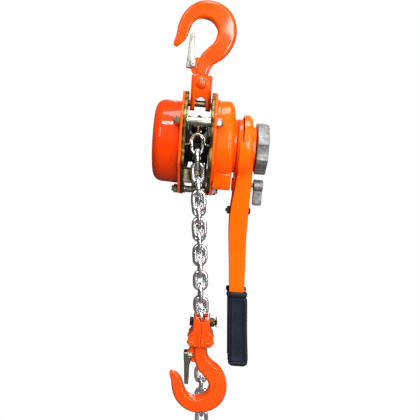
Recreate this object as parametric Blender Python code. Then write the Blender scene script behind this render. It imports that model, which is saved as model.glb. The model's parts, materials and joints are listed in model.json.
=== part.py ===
"""Lever chain hoist, about 0.75 t, modelled as its separate pieces.

Metres, +Z up. The origin is the seat of the top hook, where the hoist hangs.
The body hangs a few degrees off plumb, so its pieces are built in the frame of the
drive axis (BODY, in millimetres, X along the axis) and then moved as one.
"""

import bmesh
import bpy
import numpy as np
from math import acos, atan2, cos, pi, radians, sin, sqrt, tan
from mathutils import Matrix, Vector

# Driving dimensions, in millimetres.
LEAN = radians(5.3)  # the body's lean about Y, top towards +X
BLOCK_LEAN = radians(5.0)  # the bottom block's lean, its hook towards -X
TAIL_LEAN = radians(0.7)  # the tail's swing about Y
LOAD_NECK = 3.8  # how much longer the load hook's neck is than the top hook's
WIRE = 6.0  # load chain 6 x 18
PITCH = 18.0
LINK_IN = 8.0
POCKETS = 5
STEP = pi / POCKETS  # turn of the sheave from one link to the next
FLAT_R = (PITCH / 2 - WIRE / 2 + (PITCH / 2 + WIRE / 2) * cos(STEP)) / sin(STEP)  # flat links on the sheave
UPRIGHT_R = FLAT_R * cos(STEP) + (PITCH / 2 + WIRE / 2) * sin(STEP)
RUN_Y = (FLAT_R + UPRIGHT_R) / 2 - 0.1  # the straight runs hang between the two, where both ends of a step fit
RUN_RISE = 0.95
FALL_LINKS = 14
TAIL_LINKS = 25
PLATE_IN = 15.2  # inner face of each side plate, from the mid-plane
PLATE_T = 3.8
OUTER_T = 3.0
GAP = 0.3
COVER_BASE = PLATE_IN + PLATE_T + OUTER_T + 2 * GAP
PIN_Z = 53.0
PIN_R = 4.3
YOKE_TOP = 89.5
SEAT = (-1.75, 70.2)  # hook seat above the yoke's end face, in the hook's own frame
STAYS = {"front": (-53.7, 30.6, 5.4), "rear": (53.7, 30.6, 5.4), "bottom": (-8.0, -59.5, 4.4)}
GEAR_COVER_X = 56.5
BRAKE_COVER_X = 46.3
CROWN_Z = 11.4  # centre of the brake cover's crown
HEAD_R = 43.0  # lever head
HEAD_Z = 1.5
MODULE = 2.0
PINION = 7
DISC = 19
CENTRES = MODULE * (PINION + DISC) / 2
SELECTOR_Z = -49.5
WHEEL_X = (76.7, 91.7)
WHEEL_R = 34.6
BOLT_DROP = (FALL_LINKS - 1) * PITCH + 4.6  # yoke bolt below the fall's first link


def body_frame():
    turn = Matrix.Rotation(LEAN, 4, "Y")
    seat = turn @ Vector((SEAT[0], 0, YOKE_TOP + SEAT[1]))
    return Matrix.Translation(-seat) @ turn


BODY = body_frame()
AXIS = BODY.translation.copy()
HOOK = BODY @ Matrix.Translation((0, 0, YOKE_TOP))
FALL = Matrix.Translation(AXIS + Vector((0, -RUN_Y, RUN_RISE)))
TAIL = Matrix.Translation(AXIS + Vector((0, RUN_Y, RUN_RISE))) @ Matrix.Rotation(TAIL_LEAN, 4, "Y")
BLOCK = FALL @ Matrix.Translation((0, 0, -BOLT_DROP)) @ Matrix.Rotation(BLOCK_LEAN, 4, "Y")
LOAD_HOOK = BLOCK @ Matrix.Translation((0, 0, -35.2)) @ Matrix.Rotation(pi, 4, "X")

COLOURS = {
    "orange": ((0.9, 0.16, 0.01, 1), 0.0, 0.25),
    "zinc": ((0.55, 0.5, 0.3, 1), 1.0, 0.35),
    "steel": ((0.6, 0.6, 0.62, 1), 1.0, 0.3),
    "dark": ((0.05, 0.05, 0.05, 1), 0.8, 0.5),
    "grey": ((0.3, 0.3, 0.3, 1), 0.7, 0.45),
    "rubber": ((0.02, 0.025, 0.04, 1), 0.0, 0.6),
    "lining": ((0.25, 0.14, 0.08, 1), 0.0, 0.9),
}


# Small tools ---------------------------------------------------------------

def clear():
    for obj in list(bpy.data.objects):
        bpy.data.objects.remove(obj)


def mesh_object(points, faces):
    mesh = bpy.data.meshes.new("shape")
    mesh.from_pydata([tuple(p) for p in points], [], faces)
    build = bmesh.new()
    build.from_mesh(mesh)
    bmesh.ops.remove_doubles(build, verts=build.verts, dist=1e-5)
    bmesh.ops.recalc_face_normals(build, faces=build.faces)
    build.to_mesh(mesh)
    build.free()
    obj = bpy.data.objects.new("shape", mesh)
    bpy.context.scene.collection.objects.link(obj)
    return obj


def loft(rings, closed=False):
    """A solid through rings of points, each with the same count."""
    count = len(rings[0])
    points = [p for ring in rings for p in ring]
    faces = []
    for i in range(len(rings) if closed else len(rings) - 1):
        a = i * count
        b = (i + 1) % len(rings) * count
        for j in range(count):
            k = (j + 1) % count
            faces.append((a + j, a + k, b + k, b + j))
    if not closed:
        faces.append(tuple(range(count))[::-1])
        last = (len(rings) - 1) * count
        faces.append(tuple(range(last, last + count)))
    return mesh_object(points, faces)


def prism(outline, x0, x1):
    """A (y, z) outline extruded along X."""
    return loft([[(x, y, z) for y, z in outline] for x in (x0, x1)])


def turned(profile, steps=32, at=(0, 0)):
    """A closed (x, r) profile turned about the X axis, which passes through (y, z) = at."""
    rings = []
    for i in range(steps):
        a = 2 * pi * i / steps
        rings.append([(x, at[0] + r * cos(a), at[1] + r * sin(a)) for x, r in profile])
    return loft(rings, closed=True)


def rod(x0, x1, radius, at=(0, 0), steps=16, turn=0.0):
    """A cylinder or, with few steps, a bar along X."""
    angles = [turn + 2 * pi * i / steps for i in range(steps)]
    return prism([(at[0] + radius * cos(a), at[1] + radius * sin(a)) for a in angles], x0, x1)


def tube(x0, x1, inner, outer, at=(0, 0), steps=32):
    return turned([(x0, inner), (x1, inner), (x1, outer), (x0, outer)], steps, at)


def turn_to(obj, direction, at=(0, 0, 0)):
    """Turns a shape built along X so that it lies along the direction."""
    move = Vector((1, 0, 0)).rotation_difference(Vector(direction)).to_matrix().to_4x4()
    obj.data.transform(Matrix.Translation(at) @ move)
    return obj


def box(x, y, z):
    return prism([(y[0], z[0]), (y[1], z[0]), (y[1], z[1]), (y[0], z[1])], x[0], x[1])


def combine(obj, others, operation):
    for other in others:
        modifier = obj.modifiers.new("cut", "BOOLEAN")
        modifier.operation = operation
        modifier.solver = "EXACT"
        modifier.object = other
        graph = bpy.context.evaluated_depsgraph_get()
        result = bpy.data.meshes.new_from_object(obj.evaluated_get(graph))
        obj.modifiers.clear()
        obj.data = result
        bpy.data.objects.remove(other)
    return obj


def cut(obj, *others):
    return combine(obj, others, "DIFFERENCE")


def join(obj, *others):
    return combine(obj, others, "UNION")


def rounded(corners, radius, steps=2):
    """An outline with each corner (y, z) rounded."""
    outline = []
    for i, corner in enumerate(corners):
        here = Vector(corner)
        back = (Vector(corners[i - 1]) - here).normalized()
        on = (Vector(corners[(i + 1) % len(corners)]) - here).normalized()
        half = acos(max(-1, min(1, back.dot(on)))) / 2
        start = here + back * radius / tan(half)
        centre = here + (back + on).normalized() * radius / sin(half)
        first = start - centre
        end = here + on * radius / tan(half) - centre
        sweep = atan2(first.x * end.y - first.y * end.x, first.dot(end))
        for j in range(steps + 1):
            turn = Matrix.Rotation(sweep * j / steps, 2)
            outline.append(tuple(centre + turn @ first))
    return outline


def oval(centre, across, width, depth, sides=10, flat=0.72):
    """A ring of points, width along the unit vector across and depth along Y."""
    ring = []
    for i in range(sides):
        a = 2 * pi * (i + 0.5) / sides
        c = cos(a)
        s = sin(a)
        u = width / 2 * abs(c) ** flat * (1 if c > 0 else -1)
        v = depth / 2 * abs(s) ** flat * (1 if s > 0 else -1)
        ring.append((centre[0] + across[0] * u, v, centre[1] + across[1] * u))
    return ring


def gear_outline(teeth, addendum=1.0, turn=0.0, centre=(0.0, 0.0), module=MODULE):
    pitch_r = module * teeth / 2
    tip = pitch_r + module * addendum
    root = pitch_r - 1.2 * module
    step = 2 * pi / teeth
    outline = []
    for i in range(teeth):
        a = turn + i * step
        for r, part in ((root, -0.30), (root, -0.27), (tip, -0.10), (tip, 0.10), (root, 0.27)):
            if part == -0.30:
                continue
            angle = a + part * step
            outline.append((centre[0] + r * cos(angle), centre[1] + r * sin(angle)))
    return outline


def finish(obj, name, frame, origin, colour):
    """Names the piece, moves it from its frame to the world and puts its origin on its joint."""
    obj.data.transform(frame)
    at = frame @ Vector(origin)
    obj.data.transform(Matrix.Translation(-at))
    obj.data.transform(Matrix.Scale(0.001, 4))
    obj.location = at * 0.001
    obj.name = name
    obj.data.name = name
    obj.data.shade_smooth()
    obj.data.set_sharp_from_angle(angle=radians(35))
    base, metallic, roughness = COLOURS[colour]
    material = bpy.data.materials.new(name)
    material.use_nodes = True
    shader = material.node_tree.nodes["Principled BSDF"]
    shader.inputs["Base Color"].default_value = base
    shader.inputs["Metallic"].default_value = metallic
    shader.inputs["Roughness"].default_value = roughness
    obj.data.materials.clear()
    obj.data.materials.append(material)
    return obj


# The frame -----------------------------------------------------------------

def plate_outline():
    half = [(22.5, 67.5), (60, 39), (60, -20), (15, -65.5)]
    return rounded([(-y, z) for y, z in half] + half[::-1], 7)


def side_plates():
    for side, tag in ((-1, "gear"), (1, "brake")):
        for kind, start, thick in (("side", PLATE_IN, PLATE_T), ("outer", PLATE_IN + PLATE_T + GAP, OUTER_T)):
            ends = sorted((side * start, side * (start + thick)))
            plate = prism(plate_outline(), *ends)
            holes = [rod(ends[0] - 1, ends[1] + 1, 4.4, s[:2], 12) for s in STAYS.values()]
            holes.append(rod(ends[0] - 1, ends[1] + 1, 18.4 if kind == "side" else 24, steps=24))
            if kind == "side":
                holes.append(rod(ends[0] - 1, ends[1] + 1, PIN_R + 0.3, (0, PIN_Z)))
                if side < 0:
                    for y in (-CENTRES, CENTRES):
                        holes.append(rod(ends[0] - 1, ends[1] + 1, 3.3, (y, 0)))
            elif side < 0:
                for y in (-CENTRES, CENTRES):
                    holes.append(rod(ends[0] - 1, ends[1] + 1, 10.5, (y, 0)))
            cut(plate, *holes)
            colour = "zinc" if kind == "side" else "orange"
            finish(plate, f"{kind}_plate_{tag}", BODY, (0, 0, 0), colour)


def stay_bolts():
    for name, (y, z, radius) in STAYS.items():
        stay = rod(-PLATE_IN + GAP, PLATE_IN - GAP, radius, (y, z))
        pieces = [rod(-30.6, 30.6, 4.0, (y, z), 12)]
        for side in (-1, 1):
            ends = sorted((side * COVER_BASE, side * (COVER_BASE + 5.6)))
            pieces.append(rod(*ends, 5.8, (y, z), 6))
        finish(join(stay, *pieces), f"stay_bolt_{name}", BODY, (0, y, z), "zinc")


def gear_cover():
    x0 = COVER_BASE
    x1 = GEAR_COVER_X
    outer = [(-x0, 54.7), (-x1 + 12.5, 53.4)]
    inner = [(-x0, 52.6), (-x1 + 12.5, 51.3)]
    for i in range(1, 5):
        a = pi / 2 * i / 4
        outer.append((-x1 + 12.5 - 11.7 * sin(a), 40.9 + 12.5 * cos(a)))
        inner.append((-x1 + 12.5 - 9.6 * sin(a), 40.9 + 10.4 * cos(a)))
    outer.append((-x1, 14.0))
    outer.append((-x1, 0.0))
    inner.append((-x1 + 2.2, 14.0))
    inner.append((-x1 + 2.2, 0.0))
    shell = turned(outer + inner[::-1], 32, (0, 1.9))
    bosses = [rod(-x1 + 1, -x1 + 8, 8.0, at, 16) for at in ((0, 0), (-CENTRES, 0), (CENTRES, 0))]
    join(shell, *bosses)
    sockets = [rod(-x1 + 3, -x1 + 9, 3.4, at, 12) for at in ((-CENTRES, 0), (CENTRES, 0))]
    sockets.append(rod(-x1 + 3, -x1 + 9, 5.3, (0, 0), 12))
    finish(cut(shell, *sockets), "gear_cover", BODY, (0, 0, 0), "orange")


def brake_cover():
    """A drum with a crown above its centre, a lobe below it and a neck towards the lever."""
    x0 = COVER_BASE
    x1 = BRAKE_COVER_X
    less = 3.9  # the crown's radius is that much less than the drum's
    profile = [(x0, 0), (x0, 53.9), (x1 - 8, 53.5)]
    for i in range(1, 4):
        a = pi / 2 * i / 3
        profile.append((x1 - 8 + 8 * sin(a), 45.5 + 8 * cos(a)))
    profile += [(x1, 35.5), (50.3, 35.5), (50.3, 0)]
    drum = turned(profile, 32, (0, 2.0))
    crown = [(x, max(0.0, r - less)) for x, r in profile[:6]] + [(x1, 0)]
    lobe = prism(rounded([(-41, -32), (41, -32), (39.5, -54), (-39.5, -54)], 6), x0, x1 - 0.7)
    join(drum, lobe, turned(crown, 32, (0, CROWN_Z)))
    dome = turned([(x0 - 1, 0), (x0 - 1, 51.6 - less), (x1 - 2.4, 50.0 - less), (x1 - 2.4, 0)], 32, (0, CROWN_Z))
    cavity = turned([(x0 - 1, 0), (x0 - 1, 51.6), (x1 - 2.4, 50.0), (x1 - 2.4, 0)], 32, (0, 2.0))
    foot = box((x0 - 1, x1 - 3), (-36.8, 36.8), (-51.6, -30))
    bore = rod(x0, 60, 17.5, steps=32)
    finish(cut(drum, cavity, dome, foot, bore), "brake_cover", BODY, (0, 0, 0), "orange")


def top_pin():
    pin = rod(-PLATE_IN - PLATE_T, PLATE_IN + PLATE_T, PIN_R, (0, PIN_Z))
    finish(pin, "top_pin", BODY, (0, 0, PIN_Z), "zinc")
    washer = tube(13.7, 14.9, PIN_R + 0.15, 7.4, (0, PIN_Z), 16)
    finish(washer, "top_pin_washer", BODY, (0, 0, PIN_Z), "zinc")


def chain_guide():
    """A folded plate under the sheave, between the two falls."""
    outline = [(-14.0, -32), (-11.8, -33), (-11.8, -47.5), (11.8, -47.5), (11.8, -33), (14.0, -32)]
    outline += [(14.0, -48.0), (15.6, -50.5), (-15.6, -50.5), (-14.0, -48.0)]
    guide = prism(outline, -PLATE_IN + GAP, PLATE_IN - GAP)
    finish(guide, "chain_guide", BODY, (0, 0, -48), "zinc")


def wire(points, radius, sides=6):
    """A round wire through the points."""
    rings = []
    for i, p in enumerate(points):
        ahead = Vector(points[min(i + 1, len(points) - 1)])
        behind = Vector(points[max(i - 1, 0)])
        along = (ahead - behind).normalized()
        flat = Vector((0, 1, 0)) if abs(along.y) < 0.9 else Vector((1, 0, 0))
        up = along.cross(flat).normalized()
        side = up.cross(along)
        angles = [2 * pi * (j + 0.5) / sides for j in range(sides)]
        rings.append([Vector(p) + radius * (cos(a) * up + sin(a) * side) for a in angles])
    return loft(rings)


def wire_guide():
    y = -41.8
    end = PLATE_IN - GAP
    points = [(-end, y, 1.5), (-11.5, y, 2.0), (-9.6, y, 4.0)]
    for i in range(7):
        a = pi * i / 6
        points.append((-9.3 * cos(a), y, 5.6 + 9.3 * sin(a)))
    points += [(9.6, y, 4.0), (11.5, y, 2.0), (end, y, 1.5)]
    finish(wire(points, 1.3), "chain_wire_guide", BODY, (0, y, 5), "zinc")


def sheave_bearings():
    for side, tag in ((-1, "gear"), (1, "brake")):
        ends = sorted((side * PLATE_IN, side * (PLATE_IN + PLATE_T)))
        ring = tube(*ends, 13.4, 18.0, steps=24)
        finish(ring, f"sheave_bearing_{tag}", BODY, (0, 0, 0), "steel")


# The drive -----------------------------------------------------------------

def load_sheave():
    """Two flanges on a hub, five pockets for the flat links and a groove for the upright ones."""
    profile = [(-18.9, 7.0), (18.9, 7.0), (18.9, 13.0), (14.6, 13.0), (14.6, 24), (13.6, 32.5), (12.2, 32.5)]
    profile += [(10.8, 24.0), (5.3, 23.6), (5.3, 16.2), (-5.3, 16.2), (-5.3, 23.6), (-10.8, 24.0)]
    profile += [(-12.2, 32.5), (-13.6, 32.5), (-14.6, 24), (-14.6, 13.0), (-18.9, 13.0)]
    sheave = turned(profile, 25)
    cutters = []
    for k in range(POCKETS):
        a = pi / 2 + 2 * pi * k / POCKETS
        pocket = box((-10.6, 10.6), (-15.6, 15.6), (FLAT_R - 3.4, FLAT_R + 9))
        pocket.data.transform(Matrix.Rotation(a, 4, "X"))
        cutters.append(pocket)
    cut(sheave, *cutters)
    tail = prism(gear_outline(12, 0.5, module=1.6), -30.8, -18.6)
    cut(tail, rod(-31, -18, 7.0))
    finish(join(sheave, tail), "load_sheave", BODY, (0, 0, 0), "dark")


def load_gear():
    gear = prism(gear_outline(DISC, 0.9, pi / DISC), -30.6, -24.6)
    cut(gear, rod(-31, -24, 10.9, steps=24))
    finish(gear, "load_gear", BODY, (0, 0, 0), "steel")


def drive_shaft():
    profile = [(-52.9, 0), (-52.9, 5.0), (25.0, 5.0), (25.0, 6.6), (86.0, 6.6), (89.0, 5.5), (89.0, 0)]
    shaft = turned(profile, 20)
    pinion = prism(gear_outline(PINION, 0.85, pi - pi / PINION), -41.8, -33.4)
    finish(join(shaft, pinion), "drive_shaft", BODY, (0, 0, 0), "steel")


def disc_gears():
    phases = (("front", -CENTRES, 0.0, pi / PINION), ("rear", CENTRES, pi + pi / DISC, pi))
    for tag, y, disc_turn, pinion_turn in phases:
        shaft = rod(-53.0, -PLATE_IN - 0.3, 3.0, (y, 0), 12)
        big = prism(gear_outline(DISC, 0.85, disc_turn, (y, 0)), -41.2, -35.6)
        small = prism(gear_outline(PINION, 0.85, pinion_turn, (y, 0)), -35.8, -24.0)
        finish(join(shaft, big, small), f"disc_gear_{tag}", BODY, (0, y, 0), "steel")


def ratchet_outline(teeth, root, tip, turn):
    outline = []
    for i in range(teeth):
        a = turn + 2 * pi * i / teeth
        b = a - 2 * pi / teeth * 0.12
        outline.append((root * cos(b), root * sin(b)))
        outline.append((tip * cos(a), tip * sin(a)))
    return outline


def brake():
    hub = turned([(23.4, 6.9), (36.3, 6.9), (36.3, 12.0), (26.4, 12.0), (26.4, 30.0), (23.4, 30.0)], 24)
    finish(hub, "brake_hub", BODY, (0, 0, 0), "steel")
    for tag, x0 in (("inner", 26.7), ("outer", 34.5)):
        finish(tube(x0, x0 + 1.8, 12.6, 27.0, steps=24), f"friction_disc_{tag}", BODY, (0, 0, 0), "lining")
    disc = prism(ratchet_outline(16, 31.0, 36.0, radians(193.6)), 28.8, 34.2)
    cut(disc, rod(28, 35, 12.6, steps=24))
    finish(disc, "ratchet_disc", BODY, (0, 0, 0), "steel")


def ratchet_pawls():
    for tag, turn in (("front", 0.0), ("rear", pi)):
        pivot = (-41.5, 14.0)
        outline = [(-45.6, 14.0), (-44.4, 17.0), (-41.5, 18.1), (-38.2, 16.5), (-36.8, 6.0), (-32.0, -5.4)]
        outline += [(-37.0, -5.0), (-41.5, 9.9), (-44.4, 11.1)]
        pawl = prism(outline, 28.9, 34.0)
        bearing = rod(28.0, 35.0, 2.3, pivot, 12)
        cut(pawl, bearing)
        pin = rod(22.8, 38.0, 2.0, pivot, 12)
        for piece in (pawl, pin):
            piece.data.transform(Matrix.Rotation(turn, 4, "X"))
        at = (0, pivot[0] * cos(turn), pivot[1] * cos(turn))
        finish(pawl, f"ratchet_pawl_{tag}", BODY, at, "steel")
        finish(pin, f"ratchet_pin_{tag}", BODY, at, "steel")


def change_gear():
    profile = [(36.6, 6.9), (66.2, 6.9), (66.2, 11.0), (53.6, 14.0), (53.6, 14.4), (40.2, 14.4)]
    profile += [(40.2, 27.0), (36.6, 27.0)]
    hub = turned(profile, 24)
    wheel = prism(gear_outline(14, 0.8, pi / 2, module=2.9), 59.6, 65.6)
    cut(wheel, rod(59, 66, 9.0))
    finish(join(hub, wheel), "change_gear", BODY, (0, 0, 0), "steel")


def hand_wheel():
    outline = []
    for i in range(48):
        a = 2 * pi * i / 48
        wave = cos(8 * (a + radians(4)))
        dip = max(0.0, wave) ** 2
        r = WHEEL_R - 3.4 * dip
        outline.append((-r * cos(a), r * sin(a)))
    wheel = prism(outline, WHEEL_X[0], WHEEL_X[1])
    recess = rod(WHEEL_X[1] - 6, WHEEL_X[1] + 1, 22, steps=32)
    bore = rod(WHEEL_X[0] - 1, WHEEL_X[1] + 1, 6.9, steps=20)
    finish(cut(wheel, recess, bore), "hand_wheel", BODY, (0, 0, 0), "grey")


def shaft_nut():
    nut = rod(86.0, 90.6, 10.0, steps=6)
    cut(nut, rod(85, 89.3, 6.9, steps=20))
    finish(nut, "shaft_nut", BODY, (0, 0, 0), "zinc")


# The lever -----------------------------------------------------------------

# (z, x inner, x outer, half width) down the arm.
ARM = [
    (2, 55.6, 70.0, 30.0),
    (-14, 55.2, 73.0, 29.0),
    (-37, 54.0, 74.4, 24.0),
    (-57, 52.6, 74.4, 20.5),
    (-82, 50.0, 74.0, 18.0),
    (-102, 49.8, 74.1, 17.0),
    (-127, 51.2, 74.4, 16.0),
    (-161, 54.3, 76.2, 14.5),
    (-200, 57.6, 78.4, 13.0),
    (-291.5, 65.9, 86.4, 11.0),
]


def arm_ring(z, x0, x1, half, r):
    """One section of the arm, rounded on its outer face."""
    ring = [(x0, -half, z), (x1 - r, -half, z)]
    ring += [(x1 - 0.3 * r, -half + 0.3 * r, z), (x1, -half + r, z), (x1, half - r, z)]
    return ring + [(x1 - 0.3 * r, half - 0.3 * r, z), (x1 - r, half, z), (x0, half, z)]


def lever_outer_shell():
    head = cut(rod(54.0, 70.0, HEAD_R, (0, HEAD_Z), 36), box((50, 58.8), (-50, 50), (9, 60)))
    disc = rod(69.0, 75.4, 29.7, steps=32)
    arm = loft([arm_ring(*s, 5.0) for s in ARM])
    join(head, arm, disc)
    inside = [arm_ring(z, x0 - 6, x1 - 2.3, half - 2.3, 3.5) for z, x0, x1, half in ARM[1:]]
    first = inside[0]
    inside.insert(0, [(x, y, 6.0) for x, y, _ in first])
    bottom = [(x, y, z - 2) for x, y, z in inside[-1]]
    inside.append(bottom)
    chamber = rod(50.0, 67.7, HEAD_R - 2.3, (0, HEAD_Z), 36)
    bore = rod(60.0, 80.0, 13.0, steps=24)
    shaft = rod(60, 80, 3.4, (0, SELECTOR_Z), 12)
    bolt = rod(60, 80, 2.9, (0, -85.0), 12)
    shell = cut(head, loft(inside), chamber, bore, shaft, bolt)
    finish(shell, "lever_outer_shell", BODY, (0, 0, 0), "orange")


def lever_inner_shell():
    disc = turned([(51.0, 18.5), (53.2, 18.5), (53.2, 36.3), (57.4, 36.3), (57.4, 38.5), (51.0, 38.5)], 32)
    strap = prism([(-16.5, -30), (16.5, -30), (14.5, -60), (11.5, -95), (-11.5, -95), (-14.5, -60)], 51.0, 53.2)
    boss = rod(48.9, 52.0, 9.0, (0, SELECTOR_Z), 24)
    join(disc, strap, boss)
    shaft = rod(40, 60, 3.4, (0, SELECTOR_Z), 12)
    bolt = rod(40, 60, 2.9, (0, -85.0), 12)
    finish(cut(disc, shaft, bolt), "lever_inner_shell", BODY, (0, 0, 0), "orange")


def lever_bolt():
    z = -85.0
    bolt = rod(43.6, 77.0, 2.6, (0, z), 12)
    pieces = [rod(45.4, 50.6, 5.4, (0, z), 6), rod(53.6, 71.4, 4.4, (0, z), 12), rod(74.5, 77.4, 5.0, (0, z), 16)]
    finish(join(bolt, *pieces), "lever_bolt", BODY, (0, 0, z), "zinc")


def lever_grip():
    """A rubber sleeve with a collar over the end of the arm."""
    sections = [(-196, 54.3, 80.6, 15.5), (-197.5, 53.2, 81.7, 16.5), (-202, 53.5, 82.1, 16.5), (-204, 55.5, 80.9, 15)]
    sections += [(-206.5, 55.7, 82.9, 15.0), (-252.5, 58.9, 86.5, 14.5), (-295.5, 62.1, 90.9, 15.0)]
    sections += [(-303.5, 64.3, 90.1, 13.5), (-307, 69.2, 86.2, 9.0)]

    def ring(z, x0, x1, half, r=4.0):
        points = []
        for sx, sy in ((-1, -1), (1, -1), (1, 1), (-1, 1)):
            middle = (x0 + x1) / 2
            cx = middle + sx * ((x1 - x0) / 2 - r)
            cy = sy * (half - r)
            start = atan2(sy, sx) - pi / 4
            for i in range(3):
                a = start + pi / 4 * i
                points.append((cx + r * cos(a), cy + r * sin(a), z))
        return points

    grip = loft([ring(*s) for s in sections])
    room = [(z, x0 - GAP, x1 + GAP, half + GAP) for z, x0, x1, half in ARM[-3:]]
    socket = [arm_ring(*row, 5.0) for row in room]
    socket.append([(x, y, z - 1.0) for x, y, z in socket[-1]])
    finish(cut(grip, loft(socket)), "lever_grip", BODY, (68, 0, -255), "rubber")


def selector():
    z = SELECTOR_Z
    shaft = rod(49.4, 80.0, 3.0, (0, z), 12)
    hub = rod(78.3, 91.0, 8.3, (0, z), 24)
    grip = [(-5.0, z), (-5.0, -76.0), (5.0, -76.0), (5.0, z)]
    knob = join(hub, prism(grip, 78.6, 90.7), shaft)
    finish(knob, "selector_knob", BODY, (0, 0, z), "grey")
    outline = [(-6.5, z - 3), (-7.0, z + 8), (-11.5, -27.5), (-9.8, -24.4), (-5.5, -27.6), (5.5, -27.6)]
    outline += [(9.8, -24.4), (11.5, -27.5), (7.0, z + 8), (6.5, z - 3), (3.0, z - 7.5), (-3.0, z - 7.5)]
    pawl = prism(outline, 59.8, 65.4)
    cut(pawl, rod(59, 66, 3.2, (0, z), 12))
    finish(pawl, "selector_pawl", BODY, (0, 0, z), "steel")


# The hooks -----------------------------------------------------------------

# (x, z, width, depth) down the middle of the forging, in its own frame.
BAR = [
    (0.0, 0.4, 16.3, 15.5),
    (0.6, 6.0, 16.8, 15.5),
    (2.4, 13.0, 18.6, 15.5),
    (6.6, 21.0, 20.8, 16.0),
    (13.2, 26.8, 22.6, 17.0),
    (20.4, 33.2, 23.6, 18.0),
    (26.0, 43.0, 24.4, 18.5),
    (28.0, 55.5, 25.2, 19.0),
    (23.6, 69.4, 25.8, 19.0),
    (12.6, 78.6, 24.4, 19.0),
    (-1.6, 81.4, 22.2, 18.5),
    (-12.8, 78.0, 19.6, 17.0),
    (-21.2, 70.4, 17.8, 15.5),
    (-26.4, 59.6, 16.8, 14.5),
    (-29.6, 47.6, 14.6, 13.0),
    (-34.0, 40.0, 10.6, 11.0),
    (-36.6, 36.4, 7.4, 8.6),
    (-37.9, 34.4, 3.6, 5.0),
]
LATCH_PIN = (-13.3, 12.9)


def bar(neck):
    """The rows of BAR with a longer neck: everything beyond it is that much lower."""
    rows = [(x, z + neck * min(1.0, max(0.0, (z - 6) / 20)), width, depth) for x, z, width, depth in BAR]
    if neck:
        rows[0] = (0.0, 0.2 - neck, *rows[0][2:])
    return rows


def hook(neck=0.0):
    """The forging, its shank and its collar. z = 0 is a plane just outside the yoke's end face."""
    rings = []
    rows = bar(neck)
    for i, (x, z, width, depth) in enumerate(rows):
        before = rows[max(i - 1, 0)]
        after = rows[min(i + 1, len(rows) - 1)]
        along = Vector((after[0] - before[0], after[1] - before[1])).normalized()
        if i == 0:
            along = Vector((0, 1))
        rings.append(oval((x, z), (along.y, -along.x), width, depth))
    forging = loft(rings)
    shank = turn_to(rod(-21.0, 1.0, 6.2, steps=16), (0, 0, 1))
    collar = turn_to(rod(-21.5, -16.5, 8.8, steps=20), (0, 0, 1))
    x, z = LATCH_PIN
    boss = turn_to(rod(-4.2, 4.2, 5.3, steps=20), (0, 1, 0), (x, 0, z))
    web = [(-12.5, -1.2 + 2), (0, 0.8), (0, 22), (-9, 22), (-16, 17.6), (-18.2, 10.6)]
    rib = loft([[(a, y, b) for a, b in web] for y in (-4.2, 4.2)])
    join(forging, shank, collar, boss, rib)
    bore = turn_to(rod(-9, 9, 1.9, steps=12), (0, 1, 0), (x, 0, z))
    return cut(forging, bore)


def latch(neck=0.0):
    """A folded strip: a web towards the tip side and two ears on the pin."""
    x, z = LATCH_PIN
    end = 51.0 + 0.8 * neck
    rows = [(8.6, -22.3, -9.2), (12.9, -21.8, -9.2), (16.5, -21.3, -10.2), (24.0, -20.4, -14.6), (end, -18.4, -14.4)]
    outer = loft([[(a, -6.2, h), (b, -6.2, h), (b, 6.2, h), (a, 6.2, h)] for h, a, b in rows])
    inner = [[(a + 1.4, -4.7, h), (b + 9, -4.7, h), (b + 9, 4.7, h), (a + 1.4, 4.7, h)] for h, a, b in rows]
    inner[0] = [(a, b, 7.0) for a, b, _ in inner[0]]
    inner[-1] = [(a, b, end + 1) for a, b, _ in inner[-1]]
    cut(outer, loft(inner))
    bore = turn_to(rod(-9, 9, 2.2, steps=12), (0, 1, 0), (x, 0, z))
    return cut(outer, bore)


def latch_pin():
    x, z = LATCH_PIN
    pin = turn_to(rod(-7.4, 7.4, 1.8, steps=12), (0, 1, 0), (x, 0, z))
    ends = [turn_to(rod(a, b, 3.6, steps=16), (0, 1, 0), (x, 0, z)) for a, b in ((-7.6, -6.4), (6.4, 7.6))]
    return join(pin, *ends)


def hooks():
    at = (LATCH_PIN[0], 0, LATCH_PIN[1])
    for tag, frame, neck in (("top", HOOK, 0.0), ("load", LOAD_HOOK, LOAD_NECK)):
        seat = (SEAT[0], 0, SEAT[1]) if tag == "top" else (0, 0, 0)
        finish(hook(neck), f"{tag}_hook", frame, seat, "orange")
        finish(latch(neck), f"{tag}_latch", frame, at, "zinc")
        finish(latch_pin(), f"{tag}_latch_pin", frame, at, "zinc")


def top_yoke():
    side = [(-9.4, PIN_Z), (-6.6, 46.2), (0, 43.6), (6.6, 46.2), (9.4, PIN_Z), (12.5, 70), (12.5, YOKE_TOP - 0.4)]
    side += [(-12.5, YOKE_TOP - 0.4), (-12.5, 70)]
    yoke = prism(side, -13.4, 13.4)
    bulges = []
    for y in (-8.6, 8.6):
        ball = bmesh.new()
        bmesh.ops.create_uvsphere(ball, u_segments=16, v_segments=8, radius=8.4)
        mesh = bpy.data.meshes.new("ball")
        ball.to_mesh(mesh)
        ball.free()
        mesh.transform(Matrix.Translation((0, y, 78.7)))
        obj = bpy.data.objects.new("ball", mesh)
        bpy.context.scene.collection.objects.link(obj)
        bulges.append(obj)
    join(yoke, *bulges)
    arch = [(-6.9, 40), (6.9, 40), (6.9, 56.3), (0, 64.5), (-6.9, 56.3)]
    slot = loft([[(a, y, b) for a, b in arch] for y in (-20, 20)])
    hollow = turn_to(rod(55.0, 73.6, 9.3, steps=24), (0, 0, 1))
    bore = turn_to(rod(60, 95, 6.6, steps=16), (0, 0, 1))
    hole = rod(-20, 20, PIN_R + 0.3, (0, PIN_Z))
    finish(cut(yoke, slot, hollow, bore, hole), "top_yoke", BODY, (0, 0, PIN_Z), "orange")


# The bottom block ----------------------------------------------------------

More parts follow.
